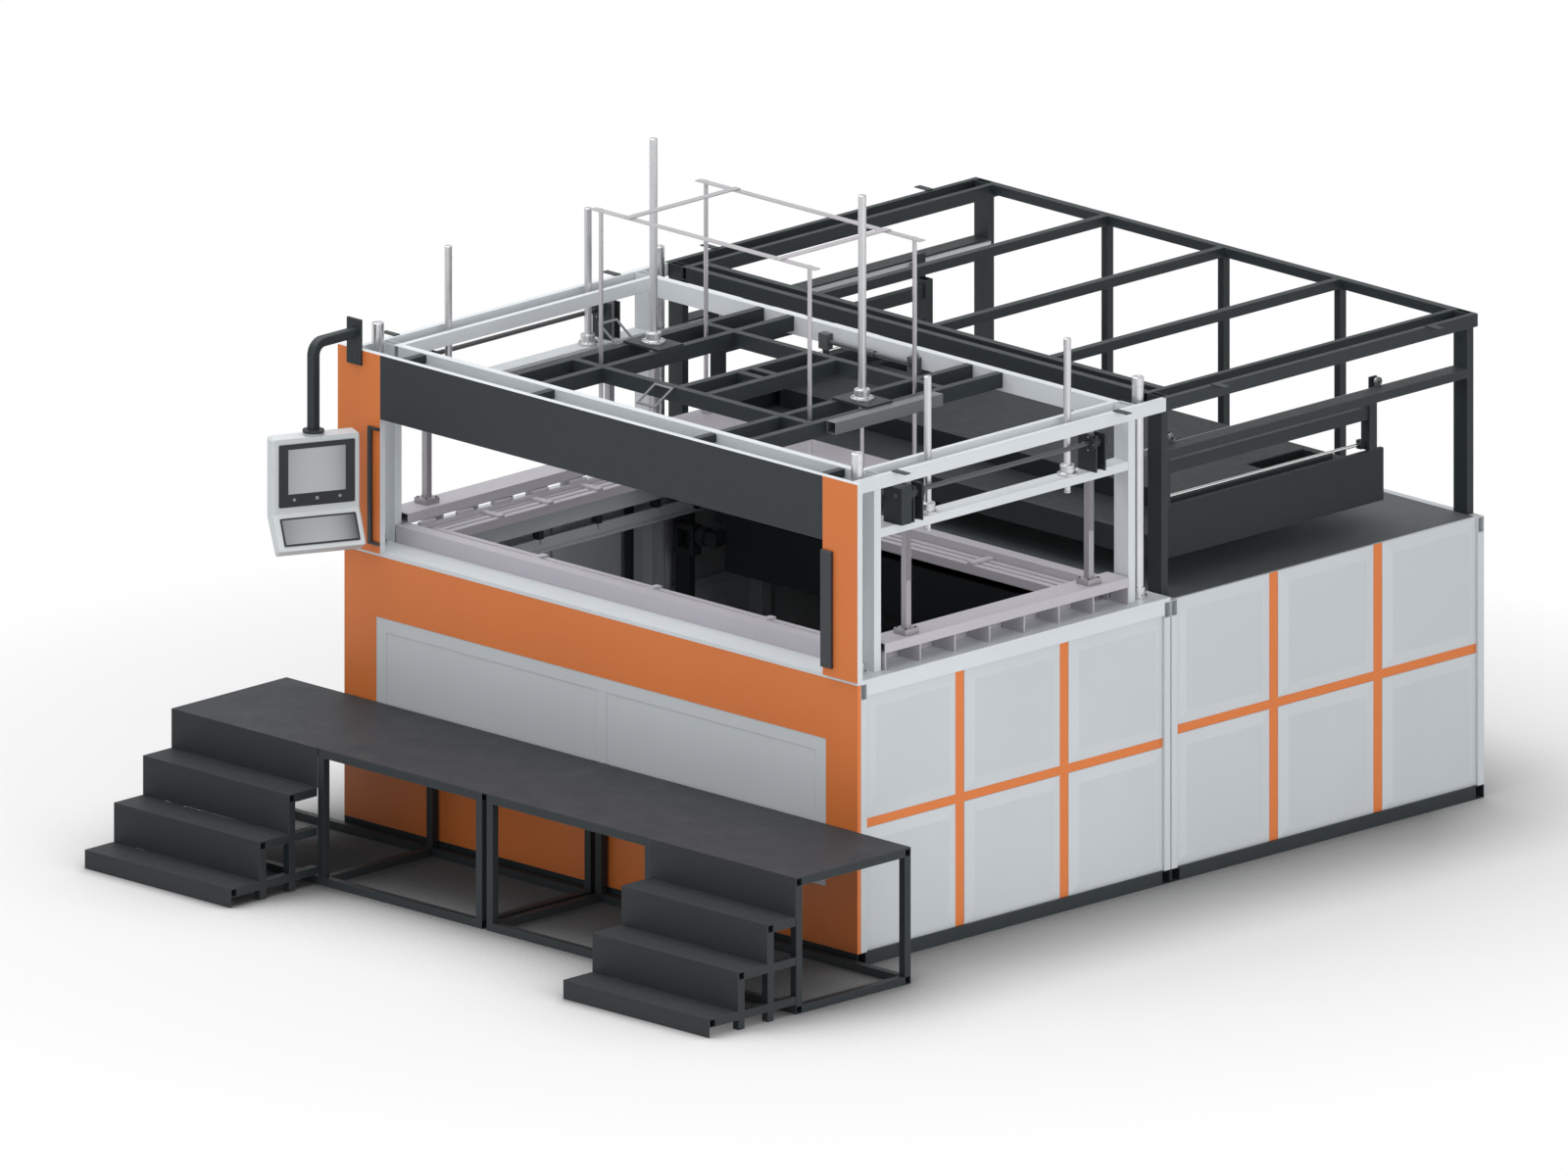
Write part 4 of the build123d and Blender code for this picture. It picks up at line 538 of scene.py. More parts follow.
screws.close(screws.node("GeometryNodeInstanceOnPoints", {}, {
    "Points": screws.start, "Instance": lifted, "Rotation": stand}))
black_oxide = powder_coat("black_oxide_screws", tone(38, 39, 41), rough=0.4, peel=0.02)


def screw_on(name, body, slot, spots, radius, height, material=black_oxide):
    """Screws at (place, axis) spots, as one piece on one body; sizes in mm."""
    points = bpy.data.meshes.new("spots")
    points.from_pydata([place for place, axis in spots], [], [])
    axes = points.attributes.new("aim", "FLOAT_VECTOR", "POINT")
    for index, (place, axis) in enumerate(spots):
        axes.data[index].vector = axis
    made = screws.run(points, Radius=radius / 1000, Height=height / 1000, Material=material)
    return settle(name, made, body, slot, material)


def circle_of(place, radius, count, axis=(0, 0, 1), start=0.0):
    """Evenly spaced spots round a place, for the screws of a flange."""
    axis = Vector(axis)
    side = axis.orthogonal().normalized()
    return [(place + Matrix.Rotation(math.radians(start + 360 * step / count), 3, axis)
             @ side * (radius / 1000), axis) for step in range(count)]


screw_on("collar_screws", "machine", "black",
         [spot for x in (-column_x, column_x) for y in column_ys
          for spot in circle_of(at(x, y, column_foot + 14), 42.5, 6)], 3, 3)

# ---------------------------------------------------------------- lattice and plug press
# Welded beams under the top frame carry two press plates.  The air cylinders stand on
# them in turned flanges; the platen hangs below on four guide rods and two piston rods.
dress(dark_coat, "lattice_frame")
dress(powder_coat("fan_frame_grey", tone(98, 102, 105), rough=0.45), "lattice_fittings")
satin_aluminium = machined("satin_aluminium", (0.60, 0.605, 0.615), rough=0.34, metal=0.85,
                           along=(500, 500, 500), marks=0.1)


def cylinder_outline(bore, bore_top, nose, nose_bottom, mount, flange, neck, neck_height,
                     body, top):
    """Air cylinder in one outline: blind bore, nose, flange, neck, body and end cap."""
    neck_top = mount + neck_height
    return [(0, bore_top), (bore, bore_top), (bore, nose_bottom), (nose - 1, nose_bottom),
            (nose, nose_bottom + 1), (nose, mount), (flange - 1, mount), (flange, mount + 1),
            (flange, mount + 9), (flange - 1.5, mount + 10.5), (neck + 3, mount + 11),
            (neck, mount + 14), (neck, neck_top - 16), (neck - 2, neck_top - 15.5),
            (neck - 2, neck_top - 12), (neck + 1, neck_top - 11.5), (neck + 1, neck_top - 2),
            (neck - 1, neck_top), (body + 3, neck_top), (body, neck_top + 3),
            (body, top - 46), (body - 1.5, top - 45.5), (body - 1.5, top - 42),
            (body, top - 41.5), (body, top - 3), (body - 3, top), (0, top)]


plug_x = 717
station_y = 1078
plug_mount = 2448.6
mesh = bmesh.new()
for x in (-plug_x, plug_x):
    turned(mesh, at(x, station_y, 0), (0, 0, 1),
           cylinder_outline(10.1, 3015, 20, 2395, plug_mount, 58, 38, 50, 20, 3477))
settle("plug_cylinders_turned", mesh, "machine", "cylinder", satin_aluminium,
       "plug_cylinders")
screw_on("plug_flange_screws", "machine", "black",
         [spot for x in (-plug_x, plug_x)
          for spot in circle_of(at(x, station_y, plug_mount + 10.5), 49, 6)], 3.5, 3.5)

clamp_colour = tone(182, 178, 186)
platen_plate = machined("anodised_platen_plate", clamp_colour, rough=0.38, metal=0.35,
                        along=(6, 700, 700), marks=0.15)
dress(platen_plate, "plug_platen")
rod_finish = machined("hard_chromed_rod", (0.53, 0.51, 0.535), rough=0.3, metal=0.7)
dress(rod_finish, "platen_rods")
guide_ys = (717.5, 1438.5)
screw_on("platen_boss_screws", "plug_platen", "black",
         [spot for x in (-plug_x, plug_x) for y in (guide_ys[0], station_y, guide_ys[1])
          for spot in circle_of(at(x, y, 2034), 20.5, 4, start=45)], 2.5, 2.5)
screw_on("tie_bar_nuts", "plug_platen", "steel",
         [(at(x, y, 3186.3), (0, 0, 1)) for x in (-plug_x, plug_x) for y in guide_ys],
         9, 7, steel)

# ---------------------------------------------------------------- compressed air unit
# Cast filter and regulator blocks on the rear beam, joined by a pipe; each carries a
# turned bowl below, and the regulator a turned knob above and a dial in front.
cast = powder_coat("cast_air_unit", tone(70, 74, 78), rough=0.42)
dress(cast, "air_unit")
filter_x, regulator_x, air_y = -357, 252, 1903
mesh = bmesh.new()
for x in (filter_x, regulator_x):
    turned(mesh, at(x, air_y, 0), (0, 0, 1), [
        (0, 2268), (5, 2268), (6, 2272), (14, 2276), (17, 2282), (17, 2316), (18.5, 2317),
        (18.5, 2322.8), (0, 2322.8)], steps=28)
turned(mesh, at(regulator_x, air_y, 0), (0, 0, 1), [
    (0, 2401.2), (15, 2401.2), (15, 2404), (13, 2405), (13, 2420), (11, 2423), (0, 2423)],
    steps=28)
turned(mesh, at(regulator_x, air_y - 20, 2362), (0, -1, 0), [
    (0, 0.2), (17, 0.2), (18, 1), (18, 8), (16.5, 9), (16, 7.5), (0, 7.5)], steps=32)
settle("air_unit_bowls", mesh, "machine", "plastic_dark",
       powder_coat("smoked_bowl", tone(45, 48, 52), rough=0.25, peel=0.02))

# ---------------------------------------------------------------- clamp frame
# Rectangular tube welded into a frame with three sealing bars to a side and ribs under
# its edges, enamelled warm grey; four toothed racks stand on it in screwed foot blocks.
clamp_enamel = powder_coat("warm_grey_enamel", clamp_colour, rough=0.4, wear_and_highlight_amount=0.35)
dress(clamp_enamel, "clamp_members")
rack_ys = (450.5, 1705.5)
rack_half = 17
rack_foot = 1605.9
rack_top = 2350
gear_level = 2300
tooth_pitch = math.pi * 2.5
foot_half_x, foot_half_y = 42, 46
foot_floor = 1577.9


def solid_box(mesh, low, high, bevel=0.0):
    """A block between two corners given in mm, with broken edges."""
    size = [abs(b - a) / 1000 for a, b in zip(low, high)]
    middle = at(*[(a + b) / 2 for a, b in zip(low, high)])
    made = bmesh.ops.create_cube(mesh, size=1.0, matrix=Matrix.Translation(middle)
                                 @ Matrix.Diagonal((*size, 1)))
    if bevel:
        edges = dict.fromkeys(edge for vert in made["verts"] for edge in vert.link_edges)
        bmesh.ops.bevel(mesh, geom=list(edges), offset=bevel / 1000, segments=2,
                        affect="EDGES", profile=0.6)


def ladder(mesh, outline, side, x, y0, y1):
    """Close a body between a straight back and a toothed front given as (out, z) pairs."""
    rows = []
    for out, z in outline:
        rows.append([mesh.verts.new(at(x + side * reach, y, z))
                     for reach, y in ((-rack_half, y0), (out, y0), (out, y1),
                                      (-rack_half, y1))])
    made = [mesh.faces.new(rows[0]), mesh.faces.new(rows[-1])]
    for lower, upper in zip(rows, rows[1:]):
        for step in range(4):
            after = (step + 1) % 4
            made.append(mesh.faces.new((lower[step], lower[after], upper[after],
                                        upper[step])))
    bmesh.ops.recalc_face_normals(mesh, faces=made)


tooth_tip = rack_half + 2.5
tooth_root = rack_half - 3.1
first_tooth = -58
last_tooth = 5
outline = [(rack_half, rack_foot), (rack_half, gear_level + first_tooth * tooth_pitch - 6)]
for index in range(first_tooth, last_tooth + 1):
    z = gear_level + (index + 0.5) * tooth_pitch
    outline += [(tooth_root, z - 3.1), (tooth_tip, z - 1.05), (tooth_tip, z + 1.05),
                (tooth_root, z + 3.1)]
outline += [(tooth_root, rack_top - 0.5), (tooth_root - 2, rack_top)]
mesh = bmesh.new()
for side in (-1, 1):
    for y in rack_ys:
        x = side * column_x
        ladder(mesh, outline, side, x, y - rack_half, y + rack_half)
        solid_box(mesh, (x - foot_half_x, y - foot_half_y, foot_floor),
                  (x + foot_half_x, y + foot_half_y, rack_foot - 0.1), 2)
settle("toothed_racks", mesh, "clamp_frame", "clamp_grey",
       machined("rack_steel", (0.36, 0.345, 0.37), rough=0.42, metal=0.45), "rack_posts")

# A flat bar runs along the inside of each side tube with raised lands on it; the gaps
# between the lands are the slots beside the sealing bars.
lip_x = (1542, 1558)
lip_low, lip_high = 1488.4, 1510
lip_y0, lip_y1 = 300, 1856
land_count, land_pitch, land_length, land_height = 7, 259, 110, 17
mesh = bmesh.new()
for side in (-1, 1):
    low_x, high_x = sorted(side * x for x in lip_x)
    solid_box(mesh, (low_x, lip_y0, lip_low), (high_x, lip_y1, lip_high), 1)
    for index in range(land_count):
        y = lip_y0 + index * land_pitch
        solid_box(mesh, (low_x, y, lip_high + 0.1),
                  (high_x, min(y + land_length, lip_y1), lip_high + land_height), 1)
settle("clamp_slot_strips", mesh, "clamp_frame", "clamp_grey", clamp_enamel)
screw_on("foot_block_screws", "clamp_frame", "black",
         [(at(side * column_x + dx, y + dy, rack_foot - 0.1), (0, 0, 1))
          for side in (-1, 1) for y in rack_ys for dx in (-30, 30) for dy in (-34, 34)],
         5.5, 5)

# ---------------------------------------------------------------- clamp cylinders
# Four slim air cylinders on the middle rails, in the same turned flanges; their polished
# rods carry round pressure feet.
clamp_ys = (598, 1558)
clamp_mount = 2157.3
mesh = bmesh.new()
for x in (-column_x, column_x):
    for y in clamp_ys:
        turned(mesh, at(x, y, 0), (0, 0, 1),
               cylinder_outline(9.1, 2655, 15.5, 2075, clamp_mount, 50, 36, 50, 18.5, 2845))
settle("clamp_cylinders_turned", mesh, "machine", "cylinder", satin_aluminium,
       "clamp_cylinders")
screw_on("clamp_flange_screws", "machine", "black",
         [spot for x in (-column_x, column_x) for y in clamp_ys
          for spot in circle_of(at(x, y, clamp_mount + 10.5), 43.5, 6, start=30)], 3, 3)
for side, place in ((-1, "left"), (1, "right")):
    for y, end in zip(clamp_ys, ("front", "rear")):
        mesh = bmesh.new()
        turned(mesh, at(side * column_x, y, 0), (0, 0, 1), [
            (0, 2064.7), (14, 2064.7), (17, 2067), (17, 2072.5), (15.5, 2074.7),
            (9, 2074.7), (9, 2614), (0, 2614)], steps=36)
        settle(f"clamp_rod_turned_{end}_{place}", mesh, f"clamp_rod_{end}_{place}", "steel",
               steel, f"clamp_rod_{end}_{place}")

# ---------------------------------------------------------------- lift drive
# Two shafts turn together and run the racks up and down.  Each has two 20-tooth pinions
# between plates with bearing caps; a gear motor drives the right one.
dress(dark_coat, "lift_drives")
shaft_x = 1689
pitch_radius = 25
teeth = 20
pinion_half = 15


def pinion(mesh, side, y):
    """One spur gear on a shaft, with a tooth pointing at the rack's gap."""
    rim = []
    for tooth in range(teeth):
        middle = 2 * math.pi * tooth / teeth
        rim += [(pitch_radius + reach, middle + math.radians(turn)) for reach, turn in
                ((-3.1, -7.3), (0, -4.2), (2.4, -2.1), (2.4, 2.1), (0, 4.2), (-3.1, 7.3))]
    loops = []
    for along, bore in ((-pinion_half, 0), (-pinion_half, 1), (pinion_half, 1),
                        (pinion_half, 0)):
        loop = []
        for radius, turn in rim:
            radius = radius if bore else 12
            loop.append(mesh.verts.new(at(side * (shaft_x - radius * math.cos(turn)),
                                          y + along, gear_level + radius * math.sin(turn))))
        loops.append(loop)
    made = []
    for first, second in zip(loops, loops[1:] + loops[:1]):
        for step in range(len(rim)):
            after = (step + 1) % len(rim)
            made.append(mesh.faces.new((first[step], first[after], second[after],
                                        second[step])))
    bmesh.ops.recalc_face_normals(mesh, faces=made)


gear_steel = machined("blackened_gear_steel", (0.12, 0.122, 0.128), rough=0.38, metal=0.8)
for side, place in ((-1, "left"), (1, "right")):
    low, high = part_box(f"sync_shaft_{place}")
    start = (low.y - front_y) * 1000
    end = (high.y - front_y) * 1000
    mesh = bmesh.new()
    turned(mesh, at(side * shaft_x, 0, gear_level), (0, 1, 0), [
        (0, start), (10.5, start), (12, start + 1.5), (12, end - 1.5), (10.5, end),
        (0, end)], steps=32)
    for y in rack_ys:
        pinion(mesh, side, y)
    settle(f"geared_shaft_{place}", mesh, f"sync_shaft_{place}", "black", gear_steel,
           f"sync_shaft_{place}")
cap_reach = 46
cap_faces = [(at(side * shaft_x, y + turn * cap_reach, gear_level), (0, turn, 0))
             for side in (-1, 1) for y in rack_ys for turn in (-1, 1)]
screw_on("bearing_cap_screws", "machine", "steel",
         [spot for place, axis in cap_faces for spot in circle_of(place, 33, 4, axis, 45)],
         3.5, 3, steel)
motor_x0, motor_y, motor_z = 1377, 369.5, 2268
fin_start, fin_count, fin_pitch = 40, 14, 12
mesh = bmesh.new()
for index in range(fin_count):
    x = motor_x0 + fin_start + index * fin_pitch
    turned(mesh, at(x, motor_y, motor_z), (1, 0, 0), [
        (42.3, 0), (47, 0.4), (47, 2.6), (42.3, 3)], steps=40)
turned(mesh, at(motor_x0, motor_y, motor_z), (1, 0, 0), [
    (0, -0.3), (30, -0.3), (40, 2), (44, 6), (44, 30), (42.3, 30), (42.3, 0.2), (0, 0.2)],
    steps=40)
settle("lift_motor_fins", mesh, "machine", "dark_frame", dark_coat)

# ---------------------------------------------------------------- rear frame
# Tube posts and beams that carry the ovens' tracks, in the same anthracite coat.
dress(dark_coat, "rear_posts", "rear_beams")

# ---------------------------------------------------------------- oven tracks
# Ground flat bars along the inside of both rails; the upper oven's wheels run on them.
dress(machined("track_flat_bar", (0.5, 0.505, 0.515), rough=0.38, metal=0.8,
               along=(700, 10, 700)), "oven_tracks")

# ---------------------------------------------------------------- upper oven
# A sheet steel box, open below, with infrared tubes across it.  It hangs from a tube
# carriage on four flanged wheels and slides forward over the clamp frame.
oven_coat = powder_coat("oven_dark_coat", tone(41, 46, 49), rough=0.55, dust=0.05, shine=0.25)
dress(oven_coat, "upper_oven_box", "lower_oven_box")
dress(dark_coat, "upper_carriage")
wheel_x = 1587
wheel_ys = (2332, 3752)
wheel_level = 2174
for side, place in ((-1, "left"), (1, "right")):
    for y, end in zip(wheel_ys, ("front", "rear")):
        mesh = bmesh.new()
        turned(mesh, at(side * wheel_x, y, wheel_level), (side, 0, 0), [
            (7.1, -7.3), (12, -7.3), (12, -6), (18, -5), (20, -7), (23, -7.3), (23.7, -6.6),
            (23.7, 6.6), (23, 7.3), (20, 7), (18, 5), (12, 6), (12, 7.3), (7.1, 7.3)])
        name = f"oven_wheel_{end}_{place}"
        settle(f"{name}_turned", mesh, name, "black",
               machined(f"wheel_steel_{end}_{place}", (0.25, 0.255, 0.265), rough=0.35,
                        metal=0.8), name)
chrome = machined("chromed_rod", (0.86, 0.865, 0.87), rough=0.12, along=(700, 12, 700),
                  marks=0.05)
rod_x, rod_level = 1503, 1849
rod_y0, rod_y1 = 2357.2, 3726.8
mesh = bmesh.new()
for side in (-1, 1):
    turned(mesh, at(side * rod_x, 0, rod_level), (0, 1, 0), [
        (0, rod_y0), (8.4, rod_y0), (8.4, rod_y1), (0, rod_y1)], steps=24)
settle("carriage_rods", mesh, "upper_oven", "steel", chrome)

# A folded sheet covers the insulation; it is stepped down in front and has a deep recess
# near each rear corner.  Wiring channels and a flat strip run beside it under the rods.
cover_level = 1742
cover_x = 1470.3
cover_y0, cover_y1 = 2700, 3761
recess_x0, recess_x1 = 1103, 1440
recess_y0, recess_y1 = 3327, 3722
sheet = 3
joint = 0.1
reflector_top = 1649.2
channel_y0, channel_y1 = 2400, 3530
channel = ((1474, 1498), (1746.4, 1834), 1.5)
flat_strip = ((1505, 1530.4), (1812, 1816), 0.5)


def cover_strip(mesh, x0, x1, y0, y1):
    solid_box(mesh, (min(x0, x1), y0 + joint, cover_level),
              (max(x0, x1), y1, cover_level + sheet))


mesh = bmesh.new()
cover_strip(mesh, -cover_x, cover_x, cover_y0, recess_y0)
cover_strip(mesh, -cover_x, cover_x, recess_y1, cover_y1)
cover_strip(mesh, -recess_x0, recess_x0, recess_y0, recess_y1)
solid_box(mesh, (-cover_x, cover_y0 + joint, reflector_top),
          (cover_x, cover_y0 + sheet, cover_level - joint))
for side in (-1, 1):
    cover_strip(mesh, side * recess_x1, side * cover_x, recess_y0, recess_y1)
    low_x, high_x = sorted((side * recess_x0, side * recess_x1))
    for y in (recess_y0 + joint, recess_y1 - sheet):
        solid_box(mesh, (low_x, y, reflector_top), (high_x, y + sheet, cover_level - joint))
    for x in (low_x, high_x - sheet):
        solid_box(mesh, (x, recess_y0 + sheet + 2 * joint, reflector_top),
                  (x + sheet, recess_y1 - sheet - 2 * joint, cover_level - joint))
    for xs, (bottom, top), bevel in (channel, flat_strip):
        low_x, high_x = sorted(side * x for x in xs)
        solid_box(mesh, (low_x, channel_y0, bottom), (high_x, channel_y1, top), bevel)
settle("oven_top_channels", mesh, "upper_oven", "deck_dark", oven_coat)

# Infrared elements: a ribbed quartz tube between two ceramic holders, repeated along the
# oven by one pattern.
bank = Pattern("infrared_bank", Count=10, Pitch=0.151, Length=3.0, Radius=0.0075,
               Material=None)
tube = bank.node("GeometryNodeMeshCylinder", {"fill_type": "NGON"}, {
    "Vertices": 20, "Radius": bank.size("Radius"), "Depth": bank.size("Length")})
holder = bank.node("GeometryNodeMeshCylinder", {"fill_type": "NGON"}, {
    "Vertices": 12, "Radius": bank.size("Radius") * 1.6, "Depth": 0.05})
ends = [bank.node("GeometryNodeTransform", {}, {
    "Geometry": holder,
    "Translation": bank.vector(z=(bank.size("Length") * 0.5 - 0.027) * sign)})
    for sign in (-1.0, 1.0)]
element = bank.tree.nodes.new("GeometryNodeJoinGeometry")
for part in (tube, *ends):
    bank.tree.links.new(part.socket, element.inputs[0])
laid = bank.node("GeometryNodeTransform", {}, {
    "Geometry": Wire(bank, element.outputs[0]), "Rotation": (0, math.pi / 2, 0)})
line = bank.node("GeometryNodeMeshLine", {"mode": "OFFSET"}, {
    "Count": bank.size("Count"), "Offset": bank.vector(y=bank.size("Pitch"))})
bank.close(bank.node("GeometryNodeInstanceOnPoints", {}, {"Points": line,
                                                          "Instance": laid}))
element_finish = Finish("ribbed_heater_tube")
ribs = element_finish.node("ShaderNodeTexWave", {"bands_direction": "X"}, {
    "Vector": element_finish.spot(), "Scale": 60.0, "Distortion": 0.4})
scorch = element_finish.noise(14.0, 4.0)
element_finish.set(
    Base_Color=element_finish.blend(scorch, (0.16, 0.13, 0.11), (0.38, 0.35, 0.32)),
    Roughness=scorch * 0.3 + 0.25, Metallic=0.4,
    Normal=element_finish.node("ShaderNodeBump", {}, {"Strength": 0.4, "Distance": 0.0008,
                                                      "Height": ribs}))


def heater_bank(name, node, body):
    low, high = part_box(node)
    count = 10
    edge = 0.008
    pitch = (high.y - low.y - 2 * edge) / (count - 1)
    mesh = bank.run(bpy.data.meshes.new("bank"), Count=count, Pitch=pitch,
                    Length=high.x - low.x, Material=element_finish.material)
    mesh.transform(Matrix.Translation(((low.x + high.x) / 2, low.y + edge,
                                       (low.z + high.z) / 2)))
    settle(name, mesh, body, "heater", element_finish.material, node)


heater_bank("upper_heater_elements", "upper_heaters", "upper_oven")

# ---------------------------------------------------------------- lower oven
# The same box with its open side up, on shoes that slide along a pair of light grey angle
# rails.  Dark blocks and pins hang the rails under the deck; a geared motor moves the box.
rail_out = (1.4985, 1.5485)
rail_level = (1.219, 1.2805)


def angle_rails(coat):
    """1 within the section of the two angles, wherever along the machine."""
    out = abs(coat.along("X"))
    level = coat.along("Z")
    return ((out > rail_out[0]) * (1.0 - (out > rail_out[1]))
            * (level > rail_level[0]) * (1.0 - (level > rail_level[1])))


dress(powder_coat("rail_and_hanger_coat", anthracite, dust=0.08, wear_and_highlight_amount=0.15,
                  second=tone(186, 190, 194), where=angle_rails), "lower_oven_rails")
heater_bank("lower_heater_elements", "lower_heaters", "lower_oven")

# ---------------------------------------------------------------- forming table
# A milled plate on ribs, drilled with a grid of vacuum ports; it rises on a central ram
# and four guide rods that run in bushes on a tube bed.  Sheets hang round the pit.
table_plate = machined("milled_table_plate", (0.30, 0.305, 0.315), rough=0.4, metal=0.7,
                       along=(9, 600, 600))
dress(table_plate, "forming_table")
dress(dark_coat, "table_bed")
dress(panel_coat, "pit_frame")
ports = Pattern("vacuum_ports", Columns=26, Rows=12, Width=2.5, Depth=1.1, Radius=0.007,
                Material=None)
ring = ports.node("GeometryNodeMeshCylinder", {"fill_type": "NGON"}, {
    "Vertices": 12, "Radius": ports.size("Radius"), "Depth": 0.002})
port_top = ports.node("ShaderNodeSeparateXYZ", {}, {
    0: ports.node("GeometryNodeInputNormal")}, output="Z") > 0.9
lip = ports.node("GeometryNodeExtrudeMesh", {"mode": "FACES"}, {
    "Mesh": ring, "Selection": port_top, "Offset Scale": 0.0})
lip_top = Wire(ports, lip.socket.node.outputs["Top"])
narrowed = ports.node("GeometryNodeScaleElements", {}, {
    "Geometry": lip, "Selection": lip_top, "Scale": 0.6})
bored = ports.node("GeometryNodeExtrudeMesh", {"mode": "FACES"}, {
    "Mesh": narrowed, "Selection": lip_top, "Offset Scale": -0.0015})
grid = ports.node("GeometryNodeMeshGrid", {}, {
    "Size X": ports.size("Width"), "Size Y": ports.size("Depth"),
    "Vertices X": ports.size("Columns"), "Vertices Y": ports.size("Rows")})
ports.close(ports.node("GeometryNodeInstanceOnPoints", {}, {"Points": grid,
                                                            "Instance": bored}))
low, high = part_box("forming_table")
mesh = ports.run(bpy.data.meshes.new("ports"), Material=steel)
mesh.transform(Matrix.Translation(((low.x + high.x) / 2, (low.y + high.y) / 2,
                                   high.z + 0.0006)))
settle("table_vacuum_ports", mesh, "forming_table", "steel", steel)

# ---------------------------------------------------------------- vacuum tank and pump
# A welded tank with dished ends lies in saddles between the base tubes; beside it a
# finned rotary pump and its motor share a plate.
enamel = powder_coat("tank_enamel", tone(120, 126, 132), rough=0.4)
dress(enamel, "vacuum_unit")
mesh = bmesh.new()
tank_x, tank_z, tank_y0, tank_y1 = -600, 340, 2581.5, 3881.5
for start, turn in ((tank_y0, -1), (tank_y1, 1)):
    turned(mesh, at(tank_x, start, tank_z), (0, turn, 0), [
        (0, 0.5), (236, 0.5), (238, 3), (232, 22), (214, 44), (176, 66), (120, 80),
        (60, 88), (0, 90)])
band_ys = (2780, 3232, 3680)
for y in band_ys:
    turned(mesh, at(tank_x, y, tank_z), (0, 1, 0), [
        (240.3, -15), (244, -15), (244, 15), (240.3, 15)])
pump_x, pump_z, pump_y = 520, 300, 2993.7
pump_fins = (40, 12, 30, 150.3, 162, 6, 1)
pump_motor_fins = (440, 16, 14, 110.3, 120, 4, 0.5)
for first, count, pitch, hull, tip, width, bevel in (pump_fins, pump_motor_fins):
    for index in range(count):
        turned(mesh, at(pump_x, pump_y + first + index * pitch, pump_z), (0, 1, 0), [
            (hull, 0), (tip, bevel), (tip, width - bevel), (hull, width)], steps=40)
settle("tank_ends_and_fins", mesh, "machine", "tank", enamel)

# ---------------------------------------------------------------- platform and stairs
# Folded steel plate on 40 mm square tube, two modules side by side with a flight of three
# steps at each end, in a dark sanded coat.
dress(dark_coat, "platform_frame", "stair_frames")
dress(powder_coat("platform_textured_paint", tone(50, 53, 57), rough=0.62, peel=0.45,
                  wear_and_highlight_amount=0.15, dust=0.08, shine=0.25), "platform_deck")
dress(powder_coat("tread_textured_paint", tone(49, 52, 55), rough=0.62, peel=0.45,
                  wear_and_highlight_amount=0.15, dust=0.02, shine=0.25), "stair_steps")

# ---------------------------------------------------------------- operator panel
# A folded enclosure hung from a bent square arm, with a touch screen in a dark bezel,
# three keys, and a sloping desk with a second framed window.
dress(dark_coat, "panel_arm")
case_coat = powder_coat("enclosure_textured_coat", tone(199, 204, 206), rough=0.5, peel=0.35,
                        wear_and_highlight_amount=0.1)
dress(case_coat, "panel_housing")
bezel_finish = powder_coat("bezel_matt_black", tone(40, 42, 45), rough=0.36, peel=0.04,
                           wear_and_highlight_amount=0.05, dust=0.1)
dress(bezel_finish, "panel_bezel", "console_panel")
panel_turn = math.radians(65)
across = Vector((math.cos(panel_turn), math.sin(panel_turn), 0))
out = Vector((math.sin(panel_turn), -math.cos(panel_turn), 0))
arm_x, arm_y = -1663, -313
panel_axis = at(arm_x, arm_y, 0)


def glass(name, dark, light, foot, head):
    """A coated pane: a slow gradient from its lower left to its upper right corner."""
    pane = Finish(name)
    width = 0.19
    fade_start = 0.05
    here = pane.node("ShaderNodeVectorMath", {"operation": "SUBTRACT"}, {
        0: pane.node("ShaderNodeTexCoord", output="Object"), 1: panel_axis})
    along = pane.node("ShaderNodeVectorMath", {"operation": "DOT_PRODUCT"},
                      {0: here, 1: across}, output="Value")
    level = pane.node("ShaderNodeSeparateXYZ", {}, {0: here}, output="Z")
    rise = (level - foot) * (1 / (head - foot))
    middle = (1.0 - (along * along) * (1 / width ** 2)).held()
    right = ((along - fade_start) * (1 / (width - fade_start))).held()
    amount = (middle * 0.42 - rise * 0.1 + 0.5 - right * right * 0.45).held()
    mist = pane.noise(5.0, 2.0)
    return pane.set(Base_Color=pane.blend(amount, dark, light), Roughness=mist * 0.1 + 0.12,
                    Specular_IOR_Level=0.5, Coat_Weight=0.4)


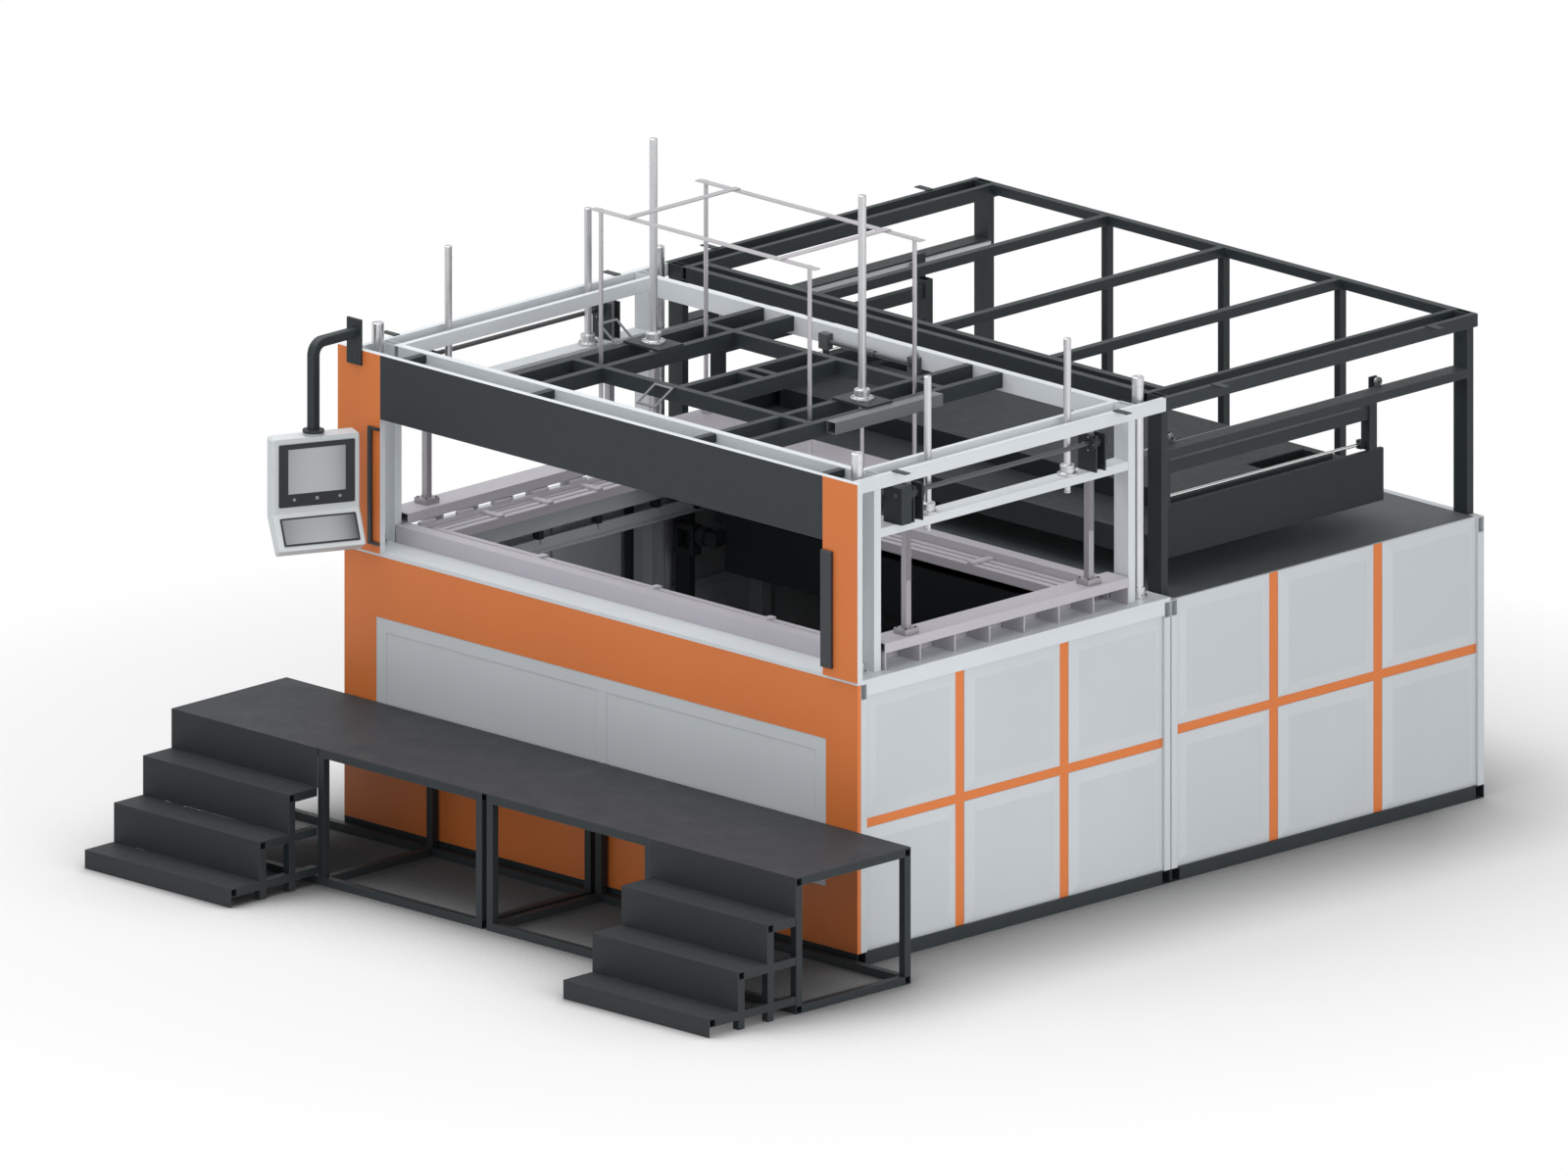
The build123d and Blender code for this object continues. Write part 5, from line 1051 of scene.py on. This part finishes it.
screen_light = tone(188, 191, 193)
screen_dark = tone(96, 99, 102)
dress(glass("screen_glass", screen_dark, screen_light, 1.79, 2.02), "panel_screen")
knee = (47, 1696)
toe = (142, 1533)
run = Vector((toe[0] - knee[0], toe[1] - knee[1])).normalized()
desk_down = out * run.x + Vector((0, 0, run.y))
desk_out = across.cross(-desk_down)
if desk_out.dot(out) < 0:
    desk_out = -desk_out
desk_middle = (panel_axis + out * ((knee[0] + toe[0]) / 2000)
               + Vector((0, 0, (knee[1] + toe[1]) / 2000)))


def plate(mesh, middle, right, up, normal, size, thick, round_off, steps=5):
    """A rounded plate lying on a plane, its edge softened by a narrow chamfer."""
    half_x, half_y = size[0] / 2000, size[1] / 2000
    corner = round_off / 1000
    loops = []
    for depth, inset in ((0, 0), (thick - 0.5, 0), (thick, 0.5)):
        loop = []
        for quarter, (sx, sy) in enumerate(((1, 1), (-1, 1), (-1, -1), (1, -1))):
            for step in range(steps + 1):
                turn = math.radians(90 * quarter + 90 * step / steps)
                x = sx * (half_x - corner) + (corner - inset / 1000) * math.cos(turn)
                y = sy * (half_y - corner) + (corner - inset / 1000) * math.sin(turn)
                loop.append(mesh.verts.new(middle + right * x + up * y
                                           + normal * (depth / 1000)))
        loops.append(loop)
    made = [mesh.faces.new(loops[0][::-1]), mesh.faces.new(loops[-1])]
    for lower, upper in zip(loops, loops[1:]):
        for step in range(len(lower)):
            after = (step + 1) % len(lower)
            made.append(mesh.faces.new((lower[step], lower[after], upper[after],
                                        upper[step])))
    bmesh.ops.recalc_face_normals(mesh, faces=made)


mesh = bmesh.new()
plate(mesh, desk_middle + desk_out * 0.0044, across, -desk_down, desk_out, (374, 123), 1.2, 2)
settle("console_window", mesh, "operator_panel", "screen",
       glass("console_glass", tone(70, 73, 76), tone(172, 175, 178), 1.55, 1.68))
key_finish = powder_coat("moulded_key", tone(150, 152, 155), rough=0.4, peel=0.02, wear_and_highlight_amount=0.05,
                         dust=0.05)
dress(key_finish, "panel_key_left", "panel_key_middle", "panel_key_right")
mount_front = -37.3
screw_on("mount_plate_screws", "machine", "black",
         [(at(arm_x + dx, mount_front, z), (0, -1, 0)) for dx in (-16, 16)
          for z in (2392, 2420)]
         + [(at(arm_x + dx, mount_front, z), (0, -1, 0)) for dx in (-34, 34)
            for z in (2470, 2585)], 4, 2.5)
screw_on("arm_flange_screws", "machine", "black",
         circle_of(at(arm_x, arm_y, 2096), 44, 6), 4, 4)
